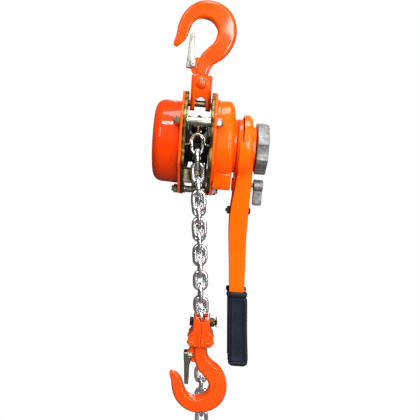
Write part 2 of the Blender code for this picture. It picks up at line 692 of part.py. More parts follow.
# (z, x at the outside, half depth) down each half of the yoke.
YOKE_ROWS = [
    (9.5, 9.4, 14.2),
    (7.0, 11.2, 14.6),
    (-8.0, 11.2, 14.8),
    (-10.5, 12.6, 14.8),
    (-17.0, 17.0, 14.8),
    (-27.5, 17.0, 14.8),
    (-31.0, 14.4, 13.4),
]


def load_yoke():
    """Two halves split on the mid-plane, round the link, the bolt and the hook's collar."""
    for side, tag in ((-1, "left"), (1, "right")):
        def ends(a, b):
            return sorted((side * a, side * b))

        rings = []
        for z, x, y in YOKE_ROWS:
            ring = [(0.15, -y), (x - 2.5, -y), (x, 2.5 - y), (x, y - 2.5), (x - 2.5, y), (0.15, y)]
            rings.append([(side * a, b, z) for a, b in ring])
        half = loft(rings)
        window = [box(ends(12.8, 18), (-9, -2), (-28, -18)), box(ends(12.8, 18), (2, 9), (-28, -18))]
        slot = box(ends(-1, 3.7), (-12.6, 12.6), (-13, 20))
        seat = turn_to(rod(-6.5, 6.5, 11.5, steps=20), (0, 1, 0), (0, 0, BOLT_DROP - 5 - PITCH * (FALL_LINKS - 2)))
        notch = loft([[(a, y, b) for a, b in ((0, 5), (2, 5), (6.5, 14), (0, 14))] for y in (-20, 20)])
        notch.data.transform(Matrix.Scale(side, 4, (1, 0, 0)))
        if side < 0:
            notch.data.flip_normals()
        hole = rod(*ends(-1, 20), 4.0, steps=16)
        hollow = turn_to(rod(-22.0, -13.0, 9.3, steps=24), (0, 0, 1))
        bore = turn_to(rod(-40, -15, 6.6, steps=16), (0, 0, 1))
        rivets = [rod(*ends(-1, 20), 1.75, (y, -24.5), 10) for y in (-11.6, 11.6)]
        cut(half, *window, slot, seat, notch, hole, hollow, bore, *rivets)
        finish(half, f"load_yoke_{tag}", BLOCK, (0, 0, 0), "orange")
    for y, tag in ((-11.6, "front"), (11.6, "rear")):
        rivet = rod(-17.4, 17.4, 1.5, (y, -24.5), 10)
        heads = [rod(*e, 2.8, (y, -24.5), 12) for e in ((-18.4, -17.2), (17.2, 18.4))]
        finish(join(rivet, *heads), f"load_yoke_rivet_{tag}", BLOCK, (0, y, -24.5), "orange")


def yoke_bolt():
    bolt = rod(-12.0, 21.0, 3.7)
    join(bolt, rod(-16.2, -11.4, 6.3, steps=6))
    cut(bolt, turn_to(rod(-6, 6, 1.1, steps=8), (0, 0, 1), (19.4, 0, 0)))
    cotter = turn_to(rod(-6.5, 5.0, 0.8, steps=8), (0, 0, 1), (19.4, 0, 0))
    eye = turn_to(rod(-1.0, 1.0, 2.2, steps=12), (1, 0, 0), (19.4, 0, 6.0))
    finish(join(cotter, eye), "load_yoke_cotter", BLOCK, (0, 0, 0), "zinc")
    finish(bolt, "load_yoke_bolt", BLOCK, (0, 0, 0), "dark")
    nut = rod(11.5, 17.8, 6.6, steps=6)
    cut(nut, rod(11, 18.5, 3.95), box((16.0, 19), (-1.0, 1.0), (-8, 8)))
    finish(nut, "load_yoke_nut", BLOCK, (0, 0, 0), "zinc")


# The load chain ------------------------------------------------------------

def link(z, edge_on, radius=WIRE / 2 + 0.12):
    """One link, its middle at height z and its length along Z."""
    middle = (LINK_IN + WIRE) / 2
    straight = (PITCH + 2 * WIRE - WIRE - 2 * middle) / 2
    path = []
    for end in (1, -1):
        for i in range(5):
            a = pi * i / 4
            path.append((middle * cos(a) * end, (straight + middle * sin(a)) * end))
    rings = []
    for i, p in enumerate(path):
        along = (Vector(path[(i + 1) % 10]) - Vector(path[i - 1])).normalized()
        out = Vector((along.y, -along.x))
        ring = []
        for j in range(6):
            a = 2 * pi * j / 6
            side = Vector(p) + out * radius * cos(a)
            depth = radius * sin(a)
            ring.append((depth, side.x, side.y + z) if edge_on else (side.x, depth, side.y + z))
        rings.append(ring)
    return loft(rings, closed=True)


def thickness(k):
    """The end link of a run is thin, for a gap to the next run, and its neighbour thick enough to reach it."""
    return (2.66, 3.42)[k] if k < 2 else WIRE / 2 + 0.12


def chains():
    run = [link(-PITCH * k, k % 2 == 1, thickness(k)) for k in range(FALL_LINKS)]
    fall = join(run[0], *run[1:])
    finish(fall, "load_chain", FALL, (0, 0, 0), "steel")
    run = [link(-PITCH * k, k % 2 == 0, thickness(k - 1)) for k in range(1, TAIL_LINKS)]
    tail = join(run[0], *run[1:])
    finish(tail, "tail_chain", TAIL, (0, 0, -PITCH), "steel")
    arc = []
    for k in range(1, 6):
        piece = link(0, k % 2 == 1, thickness(min(k - 1, 5 - k)))
        radius = UPRIGHT_R if k % 2 else FLAT_R
        piece.data.transform(Matrix.Rotation(-STEP * k, 4, "X") @ Matrix.Translation((0, -radius, 0)))
        arc.append(piece)
    finish(join(arc[0], *arc[1:]), "sheave_chain", BODY, (0, 0, 0), "steel")


def end_ring():
    z = -PITCH * (TAIL_LINKS - 1) - 6.2 - 14.0
    rings = []
    for i in range(16):
        a = 2 * pi * i / 16
        across = (cos(a), sin(a))
        ring = []
        for j in range(6):
            b = 2 * pi * (j + 0.5) / 6
            r = 14.0 + 2.4 * cos(b)
            ring.append((across[0] * r, 2.4 * sin(b), z + across[1] * r))
        rings.append(ring)
    finish(loft(rings, closed=True), "chain_end_ring", TAIL, (0, 0, z + 14), "steel")


def main():
    clear()
    side_plates()
    stay_bolts()
    gear_cover()
    brake_cover()
    top_pin()
    chain_guide()
    wire_guide()
    sheave_bearings()
    load_sheave()
    load_gear()
    drive_shaft()
    disc_gears()
    brake()
    ratchet_pawls()
    change_gear()
    hand_wheel()
    shaft_nut()
    lever_outer_shell()
    lever_inner_shell()
    lever_bolt()
    lever_grip()
    selector()
    hooks()
    top_yoke()
    load_yoke()
    yoke_bolt()
    chains()
    end_ring()


main()
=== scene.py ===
"""The looks of the lever chain hoist: its finished pieces, materials, light and camera.

Shapes are built in millimetres, each in the frame that it belongs to, and are placed in metres. BODY has X
along the drive axis, from the gear cover to the hand wheel, and Z up the side plates. HOOK and LOAD_HOOK have
Z from the swivel to the bowl, BLOCK has its origin at the bottom yoke's bolt, and FALL and TAIL lie on the two
straight runs of chain.
"""

import json
from math import acos, atan2, cos, exp, pi, radians, sin, sqrt, tan

import bmesh
import bpy
from mathutils import Matrix, Vector


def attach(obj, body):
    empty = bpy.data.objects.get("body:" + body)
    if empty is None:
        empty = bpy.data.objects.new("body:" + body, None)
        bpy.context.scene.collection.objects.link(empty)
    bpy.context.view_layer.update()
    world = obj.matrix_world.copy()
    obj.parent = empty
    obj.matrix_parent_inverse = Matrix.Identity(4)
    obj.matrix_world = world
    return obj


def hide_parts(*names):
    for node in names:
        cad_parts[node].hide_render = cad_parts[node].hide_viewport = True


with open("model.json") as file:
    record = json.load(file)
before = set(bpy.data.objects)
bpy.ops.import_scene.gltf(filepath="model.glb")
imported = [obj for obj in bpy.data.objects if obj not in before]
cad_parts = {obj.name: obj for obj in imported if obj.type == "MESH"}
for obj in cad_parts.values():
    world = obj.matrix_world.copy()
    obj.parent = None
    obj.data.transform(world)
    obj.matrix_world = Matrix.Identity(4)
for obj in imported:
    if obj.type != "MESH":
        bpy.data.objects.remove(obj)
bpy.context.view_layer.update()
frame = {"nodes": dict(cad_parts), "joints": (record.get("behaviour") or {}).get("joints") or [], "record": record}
RECORD = frame["record"]
JOINTS = {joint["name"]: joint for joint in frame["joints"]}
BODY_OF = {node: body for body, nodes in RECORD["behaviour"]["bodies"].items() for node in nodes}
SLOT_OF = {part["node"]: part["material_slot"] for part in RECORD["subparts"]}


def joint_frame(origin, x_joint, z_joint):
    """The frame, in millimetres, at one joint, with X along a second joint's axis and Z along a third's."""
    x = Vector(JOINTS[x_joint]["axis"]).normalized()
    y = Vector(JOINTS[z_joint]["axis"]).cross(x).normalized()
    turn = Matrix((x, y, x.cross(y))).transposed().to_4x4()
    return Matrix.Translation(Vector(JOINTS[origin]["pos_m"]) * 1000) @ turn


# Driving dimensions, in millimetres, as the frame's own.
TAIL_LEAN = radians(0.7)
LOAD_NECK = 3.8
WIRE = 6.0
PITCH = 18.0
POCKETS = 5
STEP = pi / POCKETS
FLAT_R = (PITCH / 2 - WIRE / 2 + (PITCH / 2 + WIRE / 2) * cos(STEP)) / sin(STEP)
UPRIGHT_R = FLAT_R * cos(STEP) + (PITCH / 2 + WIRE / 2) * sin(STEP)
RUN_Y = (FLAT_R + UPRIGHT_R) / 2 - 0.1
RUN_RISE = 0.95
FALL_LINKS = 14
TAIL_LINKS = 25
PLATE_IN = 15.2
PLATE_T = 3.8
OUTER_T = 3.0
GAP = 0.3
COVER_BASE = PLATE_IN + PLATE_T + OUTER_T + 2 * GAP
PIN_Z = 53.0
YOKE_TOP = 89.5
STAYS = {"front": (-53.7, 30.6, 5.4), "rear": (53.7, 30.6, 5.4), "bottom": (-8.0, -59.5, 4.4)}
CENTRES = 26.0
CROWN_Z = 11.4
SELECTOR_Z = -49.5
LEVER_BOLT_Z = -85.0

BODY = joint_frame("drive_turn", "drive_turn", "top_hook_swivel")
HOOK = BODY @ Matrix.Translation((0, 0, YOKE_TOP))
BLOCK = joint_frame("load_yoke_pivot", "load_yoke_pivot", "load_hook_swivel")
LOAD_HOOK = BLOCK @ Matrix.Translation((0, 0, -35.2)) @ Matrix.Rotation(pi, 4, "X")
FALL = Matrix.Translation(BODY.translation + Vector((0, -RUN_Y, RUN_RISE)))
TAIL = Matrix.Translation(BODY.translation + Vector((0, RUN_Y, RUN_RISE))) @ Matrix.Rotation(TAIL_LEAN, 4, "Y")


# Materials -----------------------------------------------------------------

def new_material(name, values):
    material = bpy.data.materials.new(name)
    material.use_nodes = True
    shader = material.node_tree.nodes["Principled BSDF"]
    for socket, value in values.items():
        shader.inputs[socket].default_value = value
    return material


def node(material, kind, values=None, **settings):
    made = material.node_tree.nodes.new(kind)
    for setting, value in settings.items():
        setattr(made, setting, value)
    for socket, value in (values or {}).items():
        made.inputs[socket].default_value = value
    return made


def link(material, out, into):
    material.node_tree.links.new(out, into)


def noise(material, scale, detail=3.0, rough=0.5, stretch=(1, 1, 1)):
    """A noise pattern fixed to the object; scale is in waves a metre."""
    place = node(material, "ShaderNodeTexCoord")
    mapping = node(material, "ShaderNodeMapping", {"Scale": stretch})
    made = node(material, "ShaderNodeTexNoise", {"Scale": scale, "Detail": detail, "Roughness": rough})
    link(material, place.outputs["Object"], mapping.inputs["Vector"])
    link(material, mapping.outputs["Vector"], made.inputs["Vector"])
    return made.outputs["Fac"]


def tint(material, factor, stops):
    """A colour ramp into the base colour."""
    ramp = node(material, "ShaderNodeValToRGB")
    elements = ramp.color_ramp.elements
    while len(elements) < len(stops):
        elements.new(0.5)
    for element, (at, colour) in zip(elements, stops):
        element.position = at
        element.color = (*colour, 1)
    link(material, factor, ramp.inputs["Fac"])
    link(material, ramp.outputs["Color"], material.node_tree.nodes["Principled BSDF"].inputs["Base Color"])


def vary(material, factor, socket, low, high):
    """The pattern spread over a range of one of the shader's values."""
    spread = node(material, "ShaderNodeMapRange", {"From Min": 0.3, "From Max": 0.7, "To Min": low, "To Max": high})
    link(material, factor, spread.inputs["Value"])
    link(material, spread.outputs["Result"], material.node_tree.nodes["Principled BSDF"].inputs[socket])


def relief(material, heights):
    """Bumps from (pattern, strength, depth in metres), one upon another."""
    normal = None
    for height, strength, depth in heights:
        bump = node(material, "ShaderNodeBump", {"Strength": strength, "Distance": depth})
        link(material, height, bump.inputs["Height"])
        if normal:
            link(material, normal, bump.inputs["Normal"])
        normal = bump.outputs["Normal"]
    link(material, normal, material.node_tree.nodes["Principled BSDF"].inputs["Normal"])


def enamel(name, dark, light, lumps, gloss=0.32):
    """Glossy paint: a little orange peel, and the lumps of the metal under it."""
    paint = new_material(name, {"Specular IOR Level": 0.05, "Coat Weight": gloss, "Coat Roughness": 0.07})
    tint(paint, noise(paint, 14), [(0.35, dark), (0.65, light)])
    vary(paint, noise(paint, 90), "Roughness", 0.28, 0.42)
    relief(paint, [(noise(paint, 60, 2), lumps, 0.0006), (noise(paint, 420, 1), 0.05, 0.0003)])
    return paint


def zinc(name, stops, rough, grain):
    """Passivated plating: cloudy colour over a stamped or turned surface."""
    plate = new_material(name, {"Metallic": 1.0})
    tint(plate, noise(plate, 90, 6, 0.65), stops)
    vary(plate, noise(plate, 160, 4), "Roughness", rough, rough + 0.18)
    relief(plate, [(noise(plate, 900, 3), grain, 0.0002), (noise(plate, 120, 2), 0.15, 0.0003)])
    return plate


def steel(name, dark, light, rough, lumps):
    metal = new_material(name, {"Metallic": 1.0})
    tint(metal, noise(metal, 130, 5, 0.6), [(0.32, dark), (0.62, light)])
    vary(metal, noise(metal, 300, 3), "Roughness", rough, rough + 0.14)
    relief(metal, [(noise(metal, 140, 1), lumps, 0.0005)])
    return metal


def rubber():
    grip = new_material("grip_rubber", {"Specular IOR Level": 0.3})
    tint(grip, noise(grip, 50), [(0.3, (0.0045, 0.0065, 0.014)), (0.7, (0.008, 0.0105, 0.021))])
    vary(grip, noise(grip, 200), "Roughness", 0.42, 0.56)
    relief(grip, [(noise(grip, 2600, 2), 0.25, 0.0002)])
    return grip


def casting():
    """Shot-blasted zinc casting, half matt."""
    grey = new_material("grey_casting", {"Metallic": 0.6})
    tint(
        grey, noise(grey, 240, 5, 0.65), [(0.3, (0.1, 0.1, 0.1)), (0.5, (0.19, 0.19, 0.19)), (0.72, (0.3, 0.3, 0.3))]
    )
    vary(grey, noise(grey, 300, 3), "Roughness", 0.4, 0.56)
    relief(grey, [(noise(grey, 700, 3), 0.35, 0.0003), (noise(grey, 110, 2), 0.2, 0.0005)])
    return grey


def lining():
    pad = new_material("friction_lining", {})
    tint(
        pad,
        noise(pad, 900, 4, 0.7),
        [(0.35, (0.09, 0.05, 0.03)), (0.55, (0.2, 0.12, 0.07)), (0.75, (0.5, 0.35, 0.16))],
    )
    vary(pad, noise(pad, 500), "Roughness", 0.7, 0.95)
    relief(pad, [(noise(pad, 1500, 3), 0.5, 0.0003)])
    return pad


MATERIALS = {
    "painted_orange": enamel("painted_orange", (0.9, 0.078, 0.0), (0.96, 0.092, 0.0), 0.03),
    "hook_orange": enamel("hook_orange", (0.72, 0.056, 0.0), (0.84, 0.074, 0.001), 0.35, 0.9),
    "yellow_zinc": zinc(
        "yellow_zinc", [(0.25, (0.13, 0.11, 0.05)), (0.5, (0.27, 0.25, 0.16)), (0.75, (0.4, 0.38, 0.26))], 0.3, 0.5
    ),
    "chain_steel": steel("chain_steel", (0.6, 0.6, 0.61), (0.88, 0.88, 0.89), 0.22, 0.05),
    "dark_steel": steel("dark_steel", (0.014, 0.014, 0.016), (0.05, 0.048, 0.046), 0.34, 0.15),
    "machined_steel": steel("machined_steel", (0.28, 0.28, 0.29), (0.46, 0.46, 0.47), 0.3, 0.05),
    "grey_casting": casting(),
    "grip_rubber": rubber(),
    "friction_lining": lining(),
}
LATCH_ZINC = zinc(
    "latch_zinc", [(0.25, (0.24, 0.23, 0.19)), (0.5, (0.36, 0.35, 0.31)), (0.8, (0.48, 0.48, 0.44))], 0.34, 0.2
)
# The gear cover's paint: a darker, redder copy of painted_orange, painted shade for the weaker light on the gear
# cover.
COVER_ORANGE_PAINTED_SHADE = enamel("cover_orange_painted_shade", (0.62, 0.031, 0.0), (0.7, 0.039, 0.0), 0.02)
# The lever's paint: a brighter, yellower copy of painted_orange, painted light for the stronger light on the lever.
LEVER_ORANGE_PAINTED_LIGHT = enamel("lever_orange_painted_light", (0.9, 0.1, 0.0), (0.96, 0.118, 0.0), 0.02)
PLATE_ZINC = zinc(
    "plate_zinc", [(0.38, (0.02, 0.012, 0.003)), (0.5, (0.11, 0.065, 0.014)), (0.62, (0.26, 0.19, 0.06))], 0.36, 0.6
)
STAY_ZINC = zinc(
    "stay_zinc", [(0.25, (0.2, 0.19, 0.14)), (0.5, (0.34, 0.34, 0.27)), (0.75, (0.44, 0.44, 0.36))], 0.26, 0.2
)
# The links on the sheave: a dark brown copy of the chain steel, painted shade for the shade between the plates, with
# a brown tint that is a painted reflection of the orange plates.
INNER_CHAIN_PAINTED_SHADE = steel("inner_chain_painted_shade", (0.06, 0.025, 0.012), (0.16, 0.08, 0.045), 0.3, 0.2)
BROWN_STEEL = steel("brown_steel", (0.12, 0.06, 0.035), (0.26, 0.15, 0.09), 0.3, 0.2)
NUT_ZINC = zinc(
    "nut_zinc", [(0.25, (0.3, 0.24, 0.12)), (0.5, (0.5, 0.44, 0.28)), (0.8, (0.66, 0.62, 0.5))], 0.18, 0.1
)


# Small tools ---------------------------------------------------------------

def mesh_object(points, faces):
    mesh = bpy.data.meshes.new("shape")
    mesh.from_pydata([tuple(p) for p in points], [], faces)
    build = bmesh.new()
    build.from_mesh(mesh)
    bmesh.ops.remove_doubles(build, verts=build.verts, dist=1e-4)
    bmesh.ops.recalc_face_normals(build, faces=build.faces)
    build.to_mesh(mesh)
    build.free()
    obj = bpy.data.objects.new("shape", mesh)
    bpy.context.scene.collection.objects.link(obj)
    return obj


def loft(rings, closed=False, caps=True):
    """A skin through rings of points, each with the same count."""
    count = len(rings[0])
    points = [p for ring in rings for p in ring]
    faces = []
    for i in range(len(rings) if closed else len(rings) - 1):
        a = i * count
        b = (i + 1) % len(rings) * count
        for j in range(count):
            k = (j + 1) % count
            faces.append((a + j, a + k, b + k, b + j))
    if caps and not closed:
        last = (len(rings) - 1) * count
        faces.append(tuple(range(count))[::-1])
        faces.append(tuple(range(last, last + count)))
    return mesh_object(points, faces)


def rounded(corners, radius=0.0, steps=5, closed=True):
    """An outline with each corner (u, v) or (u, v, its own radius) made round, where there is room for it."""
    outline = []
    count = len(corners)
    for i, corner in enumerate(corners):
        here = Vector(corner[:2])
        wish = corner[2] if len(corner) > 2 else radius
        back = Vector(corners[i - 1][:2]) - here
        on = Vector(corners[(i + 1) % count][:2]) - here
        if wish == 0 or (not closed and i in (0, count - 1)):
            outline.append(tuple(here))
            continue
        half = acos(max(-1, min(1, back.normalized().dot(on.normalized())))) / 2
        reach = min(wish / tan(half), 0.49 * back.length, 0.49 * on.length)
        r = reach * tan(half)
        centre = here + (back.normalized() + on.normalized()).normalized() * r / sin(half)
        first = here + back.normalized() * reach - centre
        end = here + on.normalized() * reach - centre
        sweep = atan2(first.x * end.y - first.y * end.x, first.dot(end))
        for j in range(steps + 1):
            outline.append(tuple(centre + Matrix.Rotation(sweep * j / steps, 2) @ first))
    return outline


def turned(profile, steps=64, at=(0, 0)):
    """A closed (x, r) profile turned about X."""
    rings = []
    for i in range(steps):
        a = 2 * pi * i / steps
        rings.append([(x, at[0] + r * cos(a), at[1] + r * sin(a)) for x, r in profile])
    return loft(rings, closed=True)


def disc(x0, x1, outer, inner=0.0, edge=0.3, at=(0, 0), steps=64):
    """A washer, ring or short shaft with softened edges."""
    profile = [(x0, inner), (x1, inner), (x1, outer, edge), (x0, outer, edge)]
    if inner:
        profile = [(x0, inner, edge), (x1, inner, edge), (x1, outer, edge), (x0, outer, edge)]
    return turned(rounded(profile, 0, 3), steps, at)


def prism(outline, x0, x1):
    return loft([[(x, y, z) for y, z in outline] for x in (x0, x1)])


def box(x, y, z):
    return prism([(y[0], z[0]), (y[1], z[0]), (y[1], z[1]), (y[0], z[1])], *x)


def sheet_metal(outline, x0, x1, holes=(), edge=0.35, steps=48):
    """A stamped plate from an outline in (y, z), with round holes (y, z, radius) and softened edges."""
    curve = bpy.data.curves.new("plate", "CURVE")
    curve.dimensions = "2D"
    curve.fill_mode = "BOTH"
    loops = [outline]
    for y, z, r in holes:
        loops.append([(y + r * cos(2 * pi * i / steps), z + r * sin(2 * pi * i / steps)) for i in range(steps)])
    for loop in loops:
        spline = curve.splines.new("POLY")
        spline.points.add(len(loop) - 1)
        spline.use_cyclic_u = True
        for point, (u, v) in zip(spline.points, loop):
            point.co = (u, v, 0, 1)
    curve.extrude = (x1 - x0) / 2 - edge
    curve.bevel_depth = edge
    curve.bevel_resolution = 2
    curve.offset = -edge
    guide = bpy.data.objects.new("plate", curve)
    bpy.context.scene.collection.objects.link(guide)
    bpy.context.view_layer.update()
    mesh = bpy.data.meshes.new_from_object(guide.evaluated_get(bpy.context.evaluated_depsgraph_get()))
    bpy.data.objects.remove(guide)
    mesh.transform(Matrix(((0, 0, 1, (x0 + x1) / 2), (1, 0, 0, 0), (0, 1, 0, 0), (0, 0, 0, 1))))
    obj = bpy.data.objects.new("plate", mesh)
    bpy.context.scene.collection.objects.link(obj)
    return obj


def sweep(path, radius, sides=12, closed=False):
    """A round wire along the points; radius is a number or one number a point."""
    path = [Vector(p) for p in path]
    count = len(path)
    radii = radius if isinstance(radius, list) else [radius] * count
    side = None
    rings = []
    for i, p in enumerate(path):
        ahead = path[(i + 1) % count] if closed else path[min(i + 1, count - 1)]
        behind = path[i - 1] if closed else path[max(i - 1, 0)]
        along = (ahead - behind).normalized()
        if side is None:
            side = along.orthogonal()
        side = (side - along * side.dot(along)).normalized()
        up = along.cross(side)
        angles = [2 * pi * j / sides for j in range(sides)]
        rings.append([p + radii[i] * (cos(a) * side + sin(a) * up) for a in angles])
    return loft(rings, closed)


def turn_to(obj, direction, at=(0, 0, 0)):
    """Turns a shape built along X so that it lies along the direction, from the point."""
    move = Vector((1, 0, 0)).rotation_difference(Vector(direction)).to_matrix().to_4x4()
    obj.data.transform(Matrix.Translation(at) @ move)
    return obj


def baked(obj):
    """The object with its modifiers applied."""
    mesh = bpy.data.meshes.new_from_object(obj.evaluated_get(bpy.context.evaluated_depsgraph_get()))
    obj.modifiers.clear()
    obj.data = mesh
    return obj


def combine(obj, others, operation):
    for other in others:
        modifier = obj.modifiers.new("cut", "BOOLEAN")
        modifier.operation = operation
        modifier.solver = "EXACT"
        modifier.object = other
        baked(obj)
        bpy.data.objects.remove(other)
    return obj


def cut(obj, *others):
    return combine(obj, others, "DIFFERENCE")


def common(obj, *others):
    return combine(obj, others, "INTERSECT")


def together(*objects):
    """One object from several closed shapes, which may pass through each other."""
    build = bmesh.new()
    for obj in objects:
        build.from_mesh(obj.data)
    first = objects[0]
    for obj in objects[1:]:
        bpy.data.objects.remove(obj)
    build.to_mesh(first.data)
    build.free()
    return first


def cast(obj, voxel=0.45, passes=5):
    """Shapes melted into one skin with soft inner and outer corners, as a casting has them."""
    remesh = obj.modifiers.new("skin", "REMESH")
    remesh.mode = "VOXEL"
    remesh.voxel_size = voxel
    soften = obj.modifiers.new("soften", "SMOOTH")
    soften.factor = 0.5
    soften.iterations = passes
    return baked(obj)


def place(obj, name, where, material, nodes, sharp=32, body=None, slot=None):
    """Moves a shape from its frame into the scene, in metres, in the place of its CAD nodes."""
    obj.data.transform(Matrix.Scale(0.001, 4) @ where)
    obj.name = name
    obj.data.name = name
    obj.data.shade_smooth()
    obj.data.set_sharp_from_angle(angle=radians(sharp))
    obj.data.materials.clear()
    obj.data.materials.append(material)
    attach(obj, body or BODY_OF[nodes[0]])
    if nodes:
        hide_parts(*nodes)
    return obj


def hexagon(x0, x1, radius, at=(0, 0), turn=0.0, chamfer=0.6, both=True):
    """A hexagonal nut or bolt head with turned chamfers."""
    corners = [(at[0] + radius * cos(turn + pi / 3 * i), at[1] + radius * sin(turn + pi / 3 * i)) for i in range(6)]
    flat = radius * cos(pi / 6)
    start = flat - 0.1 if both else radius + 1
    profile = [
        (x0, 0),
        (x0, start),
        (x0 + chamfer, radius + 0.05),
        (x1 - chamfer, radius + 0.05),
        (x1, flat - 0.1),
        (x1, 0),
    ]
    return common(prism(corners, x0, x1), turned(profile, 48, at))


def thread(x0, x1, radius, pitch=1.0, at=(0, 0)):
    """A stud end with its screw thread."""
    steps = int((x1 - x0) / pitch * 6)
    rings = []
    for i in range(steps + 1):
        x = x0 + (x1 - x0) * i / steps
        ring = []
        for j in range(24):
            a = 2 * pi * j / 24
            wave = abs(((x / pitch - j / 24) % 1) - 0.5) * 2
            end = min(1.0, (x - x0) / 0.6 + 0.35, (x1 - x) / 0.6 + 0.35)
            r = (radius - 0.55 * pitch * wave) * (0.82 + 0.18 * end)
            ring.append((x, at[0] + r * cos(a), at[1] + r * sin(a)))
        rings.append(ring)
    return loft(rings)


def smooth_rows(rows, steps):
    """Rows of numbers with a smooth curve through them, steps stretches from each row to the next."""
    filled = []
    for i in range(len(rows) - 1):
        a, b = rows[i], rows[i + 1]
        before = rows[max(i - 1, 0)]
        after = rows[min(i + 2, len(rows) - 1)]
        for j in range(steps):
            t = j / steps
            row = []
            for p, q, r, s in zip(before, a, b, after):
                row.append(q + 0.5 * t * (r - p + t * (2 * p - 5 * q + 4 * r - s + t * (3 * (q - r) + s - p))))
            filled.append(tuple(row))
    return filled + [tuple(rows[-1])]


# The frame -----------------------------------------------------------------

def plate_outline():
    half = [(22.5, 67.5), (60, 39), (60, -20), (15, -65.5)]
    return rounded([(-y, z) for y, z in half] + half[::-1], 7, 10)


def side_plates():
    for side, tag in ((-1, "gear"), (1, "brake")):
        for kind, start, thick in (("side", PLATE_IN, PLATE_T), ("outer", PLATE_IN + PLATE_T + GAP, OUTER_T)):
            ends = sorted((side * start, side * (start + thick)))
            holes = [(y, z, 4.4) for y, z, _ in STAYS.values()]
            holes.append((0, 0, 18.4 if kind == "side" else 24))
            if kind == "side":
                holes.append((0, PIN_Z, 4.6))
            if side < 0:
                holes += [(y, 0, 3.3 if kind == "side" else 10.5) for y in (-CENTRES, CENTRES)]
            plate = sheet_metal(plate_outline(), *ends, holes, 0.5)
            name = f"{kind}_plate_{tag}"
            finish = PLATE_ZINC if kind == "side" else MATERIALS["painted_orange"]
            place(plate, f"{name}_fine", BODY, finish, [name], 50)


def stay_bolts():
    for tag, (y, z, radius) in STAYS.items():
        name = f"stay_bolt_{tag}"
        spacer = disc(-PLATE_IN + GAP, PLATE_IN - GAP, radius, 0, 0.8, (y, z), 48)
        shoulders = [disc(*e, radius + 0.9, 0, 0.5, (y, z), 48) for e in ((-14.9, -12.6), (12.6, 14.9))]
        ends = [thread(*e, 4.0, 1.25, (y, z)) for e in ((-30.6, -14.0), (14.0, 30.6))]
        stay = together(spacer, *shoulders, *ends)
        place(stay, f"{name}_rod", BODY, STAY_ZINC, [name])
        for side, label, metal in ((-1, "left", NUT_ZINC), (1, "right", MATERIALS["machined_steel"])):
            e = sorted((side * COVER_BASE, side * (COVER_BASE + 5.6)))
            nut = hexagon(*e, 5.8, (y, z), pi / 6, 0.7)
            place(nut, f"{name}_nut_{label}", BODY, metal, [name])


def gear_cover():
    x0 = -COVER_BASE
    x1 = -56.5
    outside = [(x0, 54.7, 0.5), (x1, 53.0, 12.5), (x1, 29.5, 1.0), (x1 + 0.9, 27.5, 1.0), (x1 + 0.9, 13.0, 1.0)]
    outside += [(x1, 11.5, 1.0), (x1, 0, 0)]
    inside = [(x1 + 2.2, 0, 0), (x1 + 2.2, 51.0, 10.4), (x0, 52.6, 0.2)]
    shell = turned(rounded(outside + inside, 0, 10), 128, (0, 1.9))
    bosses = [disc(x1 + 1.2, x1 + 8, 8.0, r, 0.4, (y, 0), 32) for y, r in ((0, 5.3), (-CENTRES, 3.4), (CENTRES, 3.4))]
    cover = together(shell, *bosses)
    # The gear cover wears the darker, redder copy of the orange paint: painted shade.
    place(cover, "gear_cover_fine", BODY, COVER_ORANGE_PAINTED_SHADE, ["gear_cover"], 40)


def brake_cover():
    """A drum with a crown above its centre, a lobe below it and a neck towards the lever."""
    x0 = COVER_BASE
    x1 = 46.3
    less = 3.9
    outline = [(x0, 0, 0), (x0, 53.9, 0.4), (26.4, 53.9, 0.8), (27.4, 53.0, 0.8), (x1, 53.5, 8), (x1, 36.8, 1.2)]
    drum = turned(rounded(outline + [(50.3, 35.5, 1.6), (50.3, 0, 0)], 0, 8), 128, (0, 2.0))
    high = [(x, max(0.0, r - less), soft) for x, r, soft in outline[:5]] + [(x1, 0, 0)]
    crown = turned(rounded(high, 0, 8), 128, (0, CROWN_Z))
    dome = turned([(x0 - 1, 0), (x0 - 1, 51.6 - less), (x1 - 2.4, 50.0 - less), (x1 - 2.4, 0)], 64, (0, CROWN_Z))
    foot = rounded([(-41.3, -28), (-38.4, -54), (38.4, -54), (41.3, -28)], 6, 6)
    lobe = sheet_metal(foot, x0, x1 - 0.7, (), 2.2)
    cavity = turned([(x0 - 1, 0), (x0 - 1, 51.6), (x1 - 2.4, 50.0), (x1 - 2.4, 0)], 64, (0, 2.0))
    room = prism([(-38.9, -20), (38.9, -20), (36.0, -51.8), (-36.0, -51.8)], x0 - 1, x1 - 3)
    bore = turned([(x0 - 1, 0), (x0 - 1, 17.5), (60, 17.5), (60, 0)], 64)
    cover = combine(drum, [crown, lobe], "UNION")
    cut(cover, cavity, dome, room, bore)
    place(cover, "brake_cover_fine", BODY, MATERIALS["painted_orange"], ["brake_cover"], 28)


def top_pin():
    end = PLATE_IN + PLATE_T
    place(disc(-end, end, 4.3, 0, 0.6, (0, PIN_Z), 48), "top_pin_fine", BODY, MATERIALS["yellow_zinc"], ["top_pin"])
    washer = disc(13.7, 14.9, 7.4, 4.45, 0.25, (0, PIN_Z), 48)
    place(washer, "top_pin_washer_fine", BODY, NUT_ZINC, ["top_pin_washer"])


def chain_guide():
    outline = [(-14.0, -32, 0.8), (-11.8, -33, 0.8), (-11.8, -47.5, 2.2), (11.8, -47.5, 2.2), (11.8, -33, 0.8)]
    outline += [(14.0, -32, 0.8), (14.0, -48.0, 3.0), (15.6, -50.5, 0.5), (-15.6, -50.5, 0.5), (-14.0, -48.0, 3.0)]
    guide = prism(rounded(outline, 0, 6), -PLATE_IN + GAP, PLATE_IN - GAP)
    place(guide, "chain_guide_fine", BODY, MATERIALS["yellow_zinc"], ["chain_guide"], 40)


